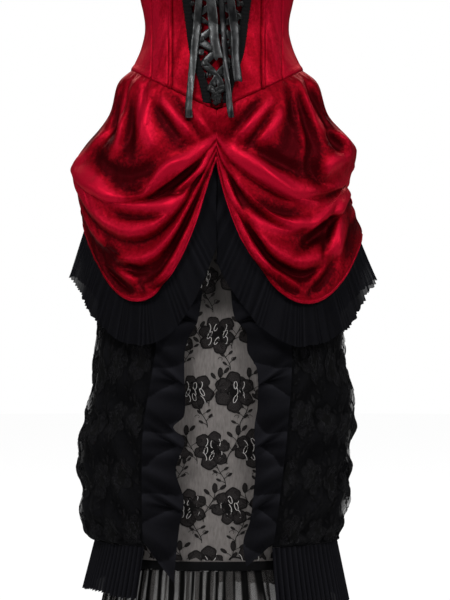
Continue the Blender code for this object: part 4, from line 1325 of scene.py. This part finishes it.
def addFlower(motifs, centre, turn, size, seed):
    rng = np.random.default_rng(seed)
    for k in range(flowers["petals"]):
        angle = turn + 2 * pi * k / flowers["petals"] + rng.uniform(-0.12, 0.12)
        reach = size * rng.uniform(0.92, 1.12)
        out = np.array((cos(angle), 1.12 * sin(angle)))
        petalWidth = reach * rng.uniform(0.56, 0.66)
        motifs.filled(ellipse(centre + out * reach, angle, reach * 0.68, petalWidth, 18, 0.06))
    motifs.filled(ellipse(centre, pi / 2, size * 0.98, size * 0.70, 14, 0.06), 0.85)
    for k in range(9):  # pale curled threads at its heart
        across = size * (0.62 * (k % 3 - 1) + rng.uniform(-0.12, 0.12))
        up = size * (0.62 * (k // 3 - 1) + rng.uniform(-0.12, 0.12))
        bend = np.linspace(0, pi * (1.9 if k % 2 else 1.0), 12)
        lean = rng.uniform(-0.5, 0.5)
        x, y = size * 0.15 * np.sin(bend), size * 0.36 * np.cos(bend)
        curl = np.stack([centre[0] + across + x + lean * y, centre[1] + up + y], axis=1)
        motifs.line(curl, 0.0009, 2.0)


def addSpray(motifs, centre, lean, size, seed):
    # a stem with small leaves, a bud and tendrils between the flowers
    rng = np.random.default_rng(seed)
    t = np.linspace(-1, 1, 12)
    stem = np.stack([centre[0] + size * 0.5 * lean * np.sin(t * 1.8), centre[1] + size * 1.5 * t], axis=1)
    motifs.line(stem, 0.0010)
    for k, place in enumerate((1, 3, 5, 6, 8, 10)):
        side = 1 if k % 2 else -1
        angle = pi / 2 - side * rng.uniform(0.6, 1.1)
        out = np.array((cos(angle), sin(angle)))
        tip = stem[place] + out * size * 0.62
        motifs.line([stem[place], (stem[place] + tip) / 2 + (0, 0.0008), tip], 0.0008)
        motifs.filled(ellipse(tip + out * size * 0.26, angle, size * 0.34, size * 0.17, 9), 0.3)
    motifs.filled(ellipse(stem[-1] + (0, size * 0.2), pi / 2, size * 0.50, size * 0.24, 11, 0.02), 0.3)
    for side in (-1, 1):
        curl = np.linspace(0, 4.2, 10)
        radius = size * 0.34 * (1 - curl / 7)
        start = stem[5] + (side * size * 0.75, 0)
        hook = [start[0] + side * radius * np.cos(curl), start[1] + radius * np.sin(curl)]
        motifs.line(np.stack(hook, axis=1), 0.0007)


def placeMotifs(width, low, high, centreU, firstRow, drift=-0.004):
    # a half-drop repeat over a length of cloth, as it is seen: across and up
    motifs = Motifs()
    row = int((firstRow - high) / flowers["down"]) - 1
    while firstRow - row * flowers["down"] > low - 0.04:
        height = firstRow - row * flowers["down"]
        shift = centreU + (row % 2) * flowers["across"] / 2 + row * drift
        first = int((-width / 2 - shift) / flowers["across"]) - 1
        for column in range(first, first + int(width / flowers["across"]) + 4):
            across = shift + column * flowers["across"]
            seed = abs(row * 131 + column * 17) + 1
            addFlower(motifs, np.array((across, height)), pi / 6 + 0.3 * sin(seed), flowers["petal"], seed)
            lean = 1 if seed % 2 else -1
            beside = np.array((across + flowers["across"] / 2, height + 0.002))
            addSpray(motifs, beside, lean, flowers["spray"], seed)
            under = np.array((across + flowers["across"] * 0.22, height - flowers["down"] * 0.42))
            addSpray(motifs, under, -lean, flowers["smallSpray"], seed + 5)
        row += 1
    return motifs


def keepInside(motifs, inside):
    # drops every face that runs past the edge of its cloth
    points = np.array(motifs.points)
    faces = np.array(motifs.faces)
    kept = faces[inside(points)[faces].all(axis=1)]
    used, index = np.unique(kept, return_inverse=True)
    return points[used], index.reshape(kept.shape), np.array(motifs.rims)[used]


def dropRepeats(faces):
    return [tuple(dict.fromkeys(face)) for face in faces.tolist()]


def addMotifMesh(name, motifs, inside, surface, finish):
    flat, faces, rims = keepInside(motifs, inside)
    mesh = bpy.data.meshes.new(name)
    mesh.from_pydata(surface(flat).tolist(), [], dropRepeats(faces))
    mesh.materials.append(finish)
    layer = mesh.uv_layers.new(name="cloth")
    corners = np.zeros(len(mesh.loops), dtype=int)
    mesh.loops.foreach_get("vertex_index", corners)
    layer.data.foreach_set("uv", flat[corners].reshape(-1))
    attribute = mesh.attributes.new("rim", "FLOAT", "POINT")
    attribute.data.foreach_set("value", rims)
    piece = bpy.data.objects.new(name, mesh)
    scene.collection.objects.link(piece)
    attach(piece, "root")
    return piece


def addInnerSkirt():
    pieces = {}
    top, low = innerSkirt["height"][0], innerSkirt["height"][-1]
    halfWidth = innerSkirt["halfWidth"]
    for half, middle in (("front", 0.0), ("back", pi)):
        f, height = np.meshgrid(np.linspace(-1, 1, 90), np.linspace(top, low, 90))
        angle = middle + f * pi / 2
        points = skirtPoints(innerSkirt, 1, angle, height, innerWaves(angle, height))
        name = f"inner_skirt_{half}"
        # painted shadow of the ruffles above, darkening the net towards the top
        ruffleShadow = smoothStep((height + innerSkirt["ruffleShadowFrom"]) / innerSkirt["ruffleShadowOver"])
        marks = {"thick": innerSkirt["ruffleShadow"] * ruffleShadow}
        net = addCloth(f"{name}_net", points, finishes["laceNet"], [name], marks=marks)
        repeat = placeMotifs(2 * halfWidth, low, top, flowers["firstAcross"], flowers["firstRow"])

        def onSkirt(flat, middle=middle):
            angle = middle + flat[:, 0] / halfWidth * (pi / 2)
            lift = innerWaves(angle, flat[:, 1]) + flowers["standOff"]
            return skirtPoints(innerSkirt, 1, angle, flat[:, 1], lift)

        def inside(flat):
            between = (flat[:, 1] < top - innerSkirt["plainTop"]) & (flat[:, 1] > low + 0.001)
            return between & (np.abs(flat[:, 0]) < halfWidth * 0.998)

        work = addMotifMesh(f"{name}_lacework", repeat, inside, onSkirt, finishes["motif"])
        pieces[name] = (net, work)
    return pieces


def addHemBand():
    angle, row = np.meshgrid(np.linspace(0, 2 * pi, 180, endpoint=False), np.linspace(0, 1, 8))
    low = innerSkirt["height"][-1]
    bow = 0.0008 * np.sin(pi * row) + innerWaves(angle, low + 0 * angle)
    points = skirtPoints(innerSkirt, 1, angle, low + 0 * angle, 0.0008 + bow)
    points[..., 2] = hemBand["top"] - hemBand["height"] * row
    return addCloth(
        "hem_band_ribbon",
        points,
        finishes["ribbonTape"],
        ["hem_band"],
        closed=True,
        thickness=hemBand["thickness"],
    )


def addInnerFlounce():
    count = innerFlounce["pleats"]
    angle, reach = np.meshgrid(np.linspace(0, 2 * pi, count * 12, endpoint=False), np.linspace(0, 1, 12))
    turn = angle / (2 * pi)
    phase = turn * count + 0.7 * np.sin(angle * 3 + 1) + 0.5 * np.sin(angle * 7 + reach * 0.6)
    wave = pleatWave(phase)
    low = innerSkirt["height"][-1]
    out = innerFlounce["spread"] * reach + innerFlounce["pleatDepth"] / 2 * wave * (0.2 + 0.8 * reach)
    points = skirtPoints(innerSkirt, 1, angle, low + 0 * angle, out)
    points[..., 2] = blend(innerFlounce["top"], innerFlounce["bottom"], reach) - 0.002 * wave * reach
    thick = 0.25 * (1 - reach) + smoothStep((wave + 0.1 + 0.5 * wander(turn * 14, 51)) / 0.5)
    return addCloth(
        "inner_flounce_pleats",
        points,
        finishes["flounceMesh"],
        ["inner_flounce"],
        closed=True,
        marks={"thick": np.clip(thick, 0, 1)},
    )


innerPieces = addInnerSkirt()
bandPiece = addHemBand()
innerFlouncePiece = addInnerFlounce()
print("dress: inner lace skirt, band and flounce made")


# Draped lace over it, open at the front

overlayRows = [
    # fold, height, left, right, front, back, dip
    ("seam", -0.170, 0.160, 0.160, 0.113, 0.126, 0.000),
    ("hip", -0.300, 0.184, 0.184, 0.124, 0.160, 0.010),
    ("under ruffle", -0.450, 0.201, 0.206, 0.138, 0.186, 0.020),
    ("first trough", -0.530, 0.206, 0.216, 0.141, 0.190, 0.026),
    ("first puff", -0.600, 0.215, 0.230, 0.154, 0.204, 0.030),
    ("second trough", -0.645, 0.222, 0.233, 0.148, 0.196, 0.026),
    ("second puff", -0.690, 0.234, 0.224, 0.160, 0.208, 0.030),
    ("third trough", -0.745, 0.226, 0.223, 0.152, 0.198, 0.024),
    ("third puff", -0.800, 0.2315, 0.217, 0.162, 0.206, 0.020),
    ("hem trough", -0.846, 0.218, 0.207, 0.154, 0.196, 0.008),
    ("hem", -0.862, 0.206, 0.202, 0.152, 0.192, 0.000),
]
overlayEdge = {
    "height": (-0.170, -0.400, -0.535, -0.680, -0.862),
    "left": (0.080, 0.092, 0.097, 0.118, 0.118),
    "right": (0.080, 0.105, 0.120, 0.112, 0.090),
}
overlayThin = {  # by fold
    "fold": (0.0, 2.2, 3.0, 4.0, 5.0, 5.8, 6.6, 7.4, 8.3, 10.0),
    "left": (0.10, 0.25, 0.75, 1.00, 0.95, 0.30, 0.35, 1.00, 0.95, 0.25),
    "right": (0.10, 0.70, 1.00, 0.90, 0.45, 0.90, 0.30, 0.90, 0.95, 0.30),
}
ruching = {"folds": 0.0042, "swags": 0.0026, "fine": 0.0018}  # how far each kind lifts the lace
overlayLace = {
    "width": 0.62,  # of each half, laid flat
    "motifWidth": 0.305,
    "motifTop": -0.33,
    "motifFoot": -0.858,
    "firstRow": -0.46,
    "firstAcross": 0.01,
    "drift": 0.006,
    "standOff": 0.0008,
}
outerFlounce = {
    "top": -0.8625,
    "bottom": {"left": -0.942, "right": -0.966},
    "spread": 0.018,
    "pleats": 52,
    "pleatDepth": 0.008,
}


def overlaySizes(sideName, row):
    column = 2 if sideName == "left" else 3
    values = np.array([[fold[1], fold[column], fold[4], fold[5], fold[6]] for fold in overlayRows])
    padded = np.concatenate([values[:1], values, values[-1:]])
    i = np.clip(np.floor(row).astype(int), 0, len(values) - 2)
    f = (row - i)[..., None]
    a, b, c, d = (padded[i + k] for k in range(4))
    bend = (2 * a - 5 * b + 4 * c - d) * f**2
    blended = 0.5 * (2 * b + (c - a) * f + bend + (3 * b - a - 3 * c + d) * f**3)
    return np.moveaxis(blended, -1, 0)


def overlayPoints(sideName, share, row, out=0.0):
    height, width, front, back, dip = overlaySizes(sideName, row)
    edge = np.arcsin(np.minimum(atHeight(overlayEdge, sideName, height) / width, 1))
    angle = blend(edge, pi, share)
    first = np.sin(pi * np.minimum(share * 1.6, 1)) ** 2
    second = np.sin(pi * np.clip(share * 1.7 - 0.7, 0, 1)) ** 2
    low = height - dip * (first + 0.8 * second)
    return ringPoints(sides[sideName], angle, width + out, front + out, back + out, low)


def overlayRuching(share, row, seed):
    # small uneven folds of the gathered lace
    folds = ruching["folds"] * wander(share * 2.6 + 0.35 * np.sin(row * 1.1), seed)
    folds = folds * np.sin(row * 2.1 + 2 * wander(share * 1.5, seed + 3))
    swags = ruching["swags"] * np.sin(row * 5.3 + 9 * np.abs(np.sin(share * 5.5)) + seed)
    fine = ruching["fine"] * wander(share * 11 + row * 0.5, seed + 5)
    return folds + swags + fine


def addOverlay():
    pieces = {}
    columns, rows = 180, 140
    share, row = np.meshgrid(np.linspace(0, 1, columns), np.linspace(0, len(overlayRows) - 1, rows))
    for sideName, side in sides.items():
        seed = 60 + side
        calm = np.clip(row / 1.5, 0, 1) * np.clip((len(overlayRows) - 1 - row) / 0.4, 0, 1)
        calm = calm * np.clip(share / 0.03, 0, 1) * np.clip((1 - share) / 0.02, 0, 1)
        points = overlayPoints(sideName, share, row, overlayRuching(share, row, seed) * calm)
        points[..., 0] = side * np.maximum(side * points[..., 0], 0)
        name = f"lace_overlay_{sideName}"
        front = smoothStep((share - 0.27) / 0.09)
        behind = smoothStep((share - 0.46) / 0.08)
        shows = np.interp(row, overlayThin["fold"], overlayThin[sideName])  # how thin its outermost edge is
        thick = 0.997 * (1 - front * shows) * (1 - behind) + (0.93 + 0.05 * wander(share * 7, seed)) * behind
        # painted light on the ruching: lighter where the lace is lifted, darker where it sinks
        fold = np.clip(0.30 + 70 * overlayRuching(share, row, seed) * calm, 0, 0.7)
        marks = {"thick": np.clip(thick, 0, 1), "fold": fold}
        net = addCloth(f"{name}_net", points, finishes["drapedLace"], [name], marks=marks)
        repeat = placeMotifs(
            overlayLace["width"],
            overlayRows[-1][1],
            overlayRows[0][1],
            overlayLace["firstAcross"] * side,
            overlayLace["firstRow"],
            drift=overlayLace["drift"],
        )

        def onOverlay(flat, sideName=sideName, seed=seed):
            shareAt = np.clip(flat[:, 0] / overlayLace["width"] + 0.5, 0, 1)
            rowAt = np.interp(-flat[:, 1], [-fold[1] for fold in overlayRows], np.arange(len(overlayRows)))
            calmAt = np.clip(rowAt / 1.5, 0, 1) * np.clip((len(overlayRows) - 1 - rowAt) / 0.4, 0, 1)
            lift = overlayRuching(shareAt, rowAt, seed) * calmAt
            return overlayPoints(sideName, shareAt, rowAt, lift + overlayLace["standOff"])

        def inside(flat):
            between = (flat[:, 1] < overlayLace["motifTop"]) & (flat[:, 1] > overlayLace["motifFoot"])
            return between & (np.abs(flat[:, 0]) < overlayLace["motifWidth"])

        work = addMotifMesh(f"{name}_lacework", repeat, inside, onOverlay, finishes["blackMotif"])
        pieces[name] = (net, work)
    return pieces


def addOuterFlounces():
    pieces = {}
    count = outerFlounce["pleats"]
    share, reach = np.meshgrid(np.linspace(0, 1, count * 10 + 1), np.linspace(0, 1, 12))
    for sideName, side in sides.items():
        phase = share * count + 0.6 * wander(share * 1.5, 71 + side)
        wave = pleatWave(phase)
        out = outerFlounce["spread"] * reach + outerFlounce["pleatDepth"] / 2 * wave * (0.15 + 0.85 * reach)
        last = np.full_like(share, len(overlayRows) - 1.0)
        points = overlayPoints(sideName, share, last, out)
        low = outerFlounce["bottom"][sideName] - 0.004 * wander(share * 2, 74 + side) - 0.002 * wave
        points[..., 2] = blend(outerFlounce["top"], low, reach)
        points[..., 0] = side * np.maximum(side * points[..., 0], 0)
        thick = 0.985 - 0.12 * reach**3
        name = f"outer_flounce_{sideName}"
        # painted highlight on the outer ridges of the pleats, painted shade in their hollows
        marks = {"thick": np.clip(thick, 0, 1), "fold": np.clip(0.35 + 0.35 * wave, 0, 0.7)}
        pieces[name] = addCloth(f"{name}_pleats", points, finishes["mesh"], [name], marks=marks)
    return pieces


overlayPieces = addOverlay()
outerFlouncePieces = addOuterFlounces()
print("dress: draped lace and its flounces made")


# Mesh ruffle that falls in cascades down each front edge

cascade = {
    "top": -0.420,
    "bottom": -0.852,
    "drop": 0.045,
    "last": {"left": 0.018, "right": -0.010},
    "falls": 4.25,
    "lastFrom": 0.8,  # share of the way down at which the lowest fall starts, and over what share it grows
    "lastOver": 0.2,
    "fullFrom": 0.35,
    "swing": 0.011,
    "stand": 0.0045,
    "clear": 0.016,
    "clearHeight": 0.030,  # how far above the flounce the ruffle starts to stand clear of it
    "clearOver": 0.040,
    "belly": 0.010,
    "fine": 0.0022,
}
cascadeEdge = {
    "left": {
        "height": (
            -0.400, -0.494, -0.526, -0.550, -0.600, -0.648,
            -0.666, -0.685, -0.734, -0.783, -0.825, -0.900,
        ),
        "distance": (0.018, 0.031, 0.048, 0.052, 0.052, 0.053, 0.070, 0.052, 0.066, 0.053, 0.060, 0.068),
    },
    "right": {
        "height": (
            -0.400, -0.485, -0.512, -0.543, -0.572, -0.633,
            -0.665, -0.733, -0.757, -0.816, -0.849, -0.900,
        ),
        "distance": (0.022, 0.028, 0.048, 0.050, 0.065, 0.066, 0.061, 0.063, 0.061, 0.054, 0.043, 0.050),
    },
}


def cascadePoints(sideName, share, reach):
    side = sides[sideName]
    height = blend(cascade["top"], cascade["bottom"], share)
    tries = np.linspace(0, len(overlayRows) - 1, 401)
    heights = overlaySizes(sideName, tries)[0]
    row = np.interp(-height, -heights, tries)
    seam = overlayPoints(sideName, 0 * share, row, cascade["stand"])
    seam[..., 2] = height
    turn = 2 * pi * cascade["falls"] * share
    lowestFall = np.clip((share - cascade["lastFrom"]) / cascade["lastOver"], 0, 1)
    drop = cascade["drop"] + cascade["last"][sideName] * lowestFall
    freeHeight = height - drop * (0.55 + 0.45 * np.sin(turn))
    grown = np.minimum(share / cascade["fullFrom"], 1.0)
    distance = atHeight(cascadeEdge[sideName], "distance", freeHeight)
    seamSine = np.sin(np.arcsin(atHeight(overlayEdge, sideName, height) / 0.21))
    width = np.abs(seam[..., 0]) / np.maximum(seamSine, 0.1)
    below = outerFlounce["top"] + cascade["clearHeight"] - freeHeight
    pastHem = np.clip(below / cascade["clearOver"], 0, 1)
    stands = cascade["swing"] * grown * (0.9 + 0.9 * np.sin(turn)) + cascade["clear"] * pastHem
    depth = np.hypot(seam[..., 1], seam[..., 0] * 0.55) + stands
    angle = np.arcsin(np.minimum(distance / np.maximum(width, 0.12), 1.0))
    free = np.stack([side * distance, -depth * np.cos(angle), freeHeight], axis=-1)
    points = blend(seam, free, reach[..., None])
    points[..., 1] -= cascade["belly"] * grown * np.sin(pi * reach) * (0.5 + 0.5 * np.cos(turn))
    fine = cascade["fine"] * np.sin(turn * 4 + 2 * wander(share * 2, 81 + side))
    fine = fine * np.sin(pi * reach * 0.9) ** 0.7
    points[..., 1] -= fine
    points[..., 2] += 0.3 * fine
    return points


def addCascades():
    pieces = {}
    reach, share = np.meshgrid(np.linspace(0, 1, 26), np.linspace(0, 1, 340))
    for sideName in sides:
        name = f"cascade_{sideName}"
        points = cascadePoints(sideName, share, reach)
        turn = 2 * pi * cascade["falls"] * share
        # painted light on the falls: each fall is painted lightest at its top and darker down to the next
        # fall over it
        hang = cascade["falls"] * share * 2 + 0.9 * reach + 0.12 * wander(share * 3, 85)
        hang = hang - np.floor(hang)
        fold = 0.05 + 0.75 * (1 - hang) ** 1.5 + 0.12 * np.sin(turn * 4 + 2 * reach)
        marks = {"thick": 0.990 - 0.10 * reach**6, "fold": np.clip(fold, 0, 0.9)}
        pieces[name] = addCloth(f"{name}_ruffle", points, finishes["mesh"], [name], marks=marks)
    return pieces


cascadePieces = addCascades()
print("dress: cascades made")


# Knot of the bow, modelled from a ball drawn in at its middle

def addKnot():
    bpy.ops.object.select_all(action="DESELECT")
    centre = bodyPoints(1, np.array(0.0), np.array(bow["knotHeight"]), bodice["cloth"] + bow["knotOut"])
    bpy.ops.mesh.primitive_uv_sphere_add(segments=32, ring_count=20, radius=0.5, location=(0, 0, 0))
    piece = bpy.context.object
    piece.name = "bow_knot_ribbon"
    size = Vector(bow["knotSize"])
    for vertex in piece.data.vertices:
        co = vertex.co
        pinch = 1 - 0.22 * exp(-((co.z / 0.22) ** 2))
        ridge = 1 + 0.07 * sin(9 * co.x + 5 * co.z)
        shaped = Vector((co.x * size.x * ridge, co.y * size.y * pinch, co.z * size.z))
        vertex.co = shaped + Vector(centre.tolist())
    bpy.ops.object.shade_smooth()
    piece.data.materials.append(finishes["satin"])
    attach(piece, "root")
    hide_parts("bow_knot")
    bpy.ops.object.select_all(action="DESELECT")
    return piece


knotPiece = addKnot()


# What each piece was cut to: width, length and, where it isn't a rectangle, area

cutSizes = {
    "bodice_front": (0.050, 0.336, 0.0125),
    "bodice_side_front": (0.056, 0.320, 0.0150),
    "bodice_side": (0.130, 0.300, 0.0310),
    "bodice_back": (0.140, 0.262, 0.0350),
    "modesty_panel": (0.088, 0.293, 0.0250),
    "placket": (0.015, 0.330, None),
    "lacing": (0.012, (0.050, 0.064, 0.074, 0.083, 0.091, 0.097)),
    "lacing_bar": (0.012, 0.036, None),
    "loop_left": (0.0125, 0.420, None),
    "loop_right": (0.012, 0.480, None),
    "tail_left": (0.012, 0.295, None),
    "tail_right": (0.012, 0.292, None),
    "velvet_front": (0.430, 0.450, 0.1180),
    "velvet_back": (0.430, 0.460, 0.1380),
    "hem_ruffle": (0.580, 0.080, None),
    "inner_skirt_front": (0.460, 0.740, None),
    "inner_skirt_back": (0.500, 0.740, None),
    "hem_band": (1.040, 0.014, None),
    "inner_flounce": (1.500, 0.122, None),
    "lace_overlay": (0.600, 0.800, 0.4400),
    "outer_flounce_left": (0.850, 0.084, None),
    "outer_flounce_right": (0.860, 0.106, None),
    "cascade": (0.076, 0.560, None),
}


def declareSheets():
    width, lengths = cutSizes["lacing"]
    for k, piece in enumerate(lacingPieces[:-1]):
        lengths[k // 2]
    for name, piece in bowPieces.items():
        [knotPiece] if name == "loop_left" else []
    for name, piece in swagPieces.items():
        half, sideName = name.split("_")[1:]
        half == "front"
    for name, (net, work) in overlayPieces.items():
        sideName = name.rsplit("_", 1)[1]


declareSheets()


# Floor and light

def addStudio():
    low = cadBox[0][2] - studio["floorBelowHem"]
    bpy.ops.object.select_all(action="DESELECT")
    bpy.ops.mesh.primitive_circle_add(vertices=128, radius=studio["floorRadius"], fill_type="NGON")
    floor = bpy.context.object
    floor.name = "floor"
    for vertex in floor.data.vertices:
        vertex.co.z = low
    paint = Finish("pale floor", roughness=0.9, specularIorLevel=0.05)
    paint.feed(baseColor=(0.80, 0.80, 0.80, 1))
    glow = paint.tree.nodes.new("ShaderNodeEmission")
    glow.inputs["Strength"].default_value = 1.08
    seenShare = paint.node("ShaderNodeLightPath") * 0.90
    either = paint.tree.nodes.new("ShaderNodeMixShader")
    paint.put(either.inputs[0], seenShare)
    paint.tree.links.new(paint.shader.outputs[0], either.inputs[1])
    paint.tree.links.new(glow.outputs[0], either.inputs[2])
    paint.tree.links.new(either.outputs[0], paint.tree.nodes["Material Output"].inputs[0])
    floor.data.materials.append(paint.material)
    bpy.ops.object.select_all(action="DESELECT")

    world = bpy.data.worlds.new("white room")
    scene.world = world
    world.use_nodes = True
    tree = world.node_tree
    tree.nodes.clear()
    seen = tree.nodes.new("ShaderNodeBackground")
    seen.inputs["Strength"].default_value = 1.0
    seen.inputs["Color"].default_value = (1, 1, 1, 1)
    lit = tree.nodes.new("ShaderNodeBackground")
    lit.inputs["Strength"].default_value = studio["roomLight"]
    lit.inputs["Color"].default_value = (1, 1, 1, 1)
    ray = tree.nodes.new("ShaderNodeLightPath")
    either = tree.nodes.new("ShaderNodeMixShader")
    output = tree.nodes.new("ShaderNodeOutputWorld")
    tree.links.new(ray.outputs["Is Camera Ray"], either.inputs[0])
    tree.links.new(lit.outputs[0], either.inputs[1])
    tree.links.new(seen.outputs[0], either.inputs[2])
    tree.links.new(either.outputs[0], output.inputs[0])

    lamps = [
        # name, place, size, power
        ("key", (-1.3, -2.2, 2.1), 0.9, 52.0),
        ("fill", (1.5, -2.0, 1.7), 0.9, 34.0),
        ("side left", (-2.6, -1.0, 0.5), 0.9, 12.0),
        ("side right", (2.6, -1.0, 0.5), 0.9, 12.0),
        ("top", (0.0, -0.7, 2.5), 1.0, 14.0),
        ("rear left", (-1.6, 2.4, 2.0), 1.2, 24.0),
        ("rear right", (1.6, 2.4, 2.0), 1.2, 24.0),
    ]
    for name, place, size, power in lamps:
        lamp = bpy.data.lights.new(name, "AREA")
        lamp.shape = "SQUARE"
        lamp.size = size
        lamp.energy = power
        holder = bpy.data.objects.new(name, lamp)
        holder.location = place
        holder.rotation_euler = (Vector((0, 0, -0.35)) - Vector(place)).to_track_quat("-Z", "Y").to_euler()
        scene.collection.objects.link(holder)


addStudio()
scene.view_settings.view_transform = "Standard"
print("dress: studio lit")
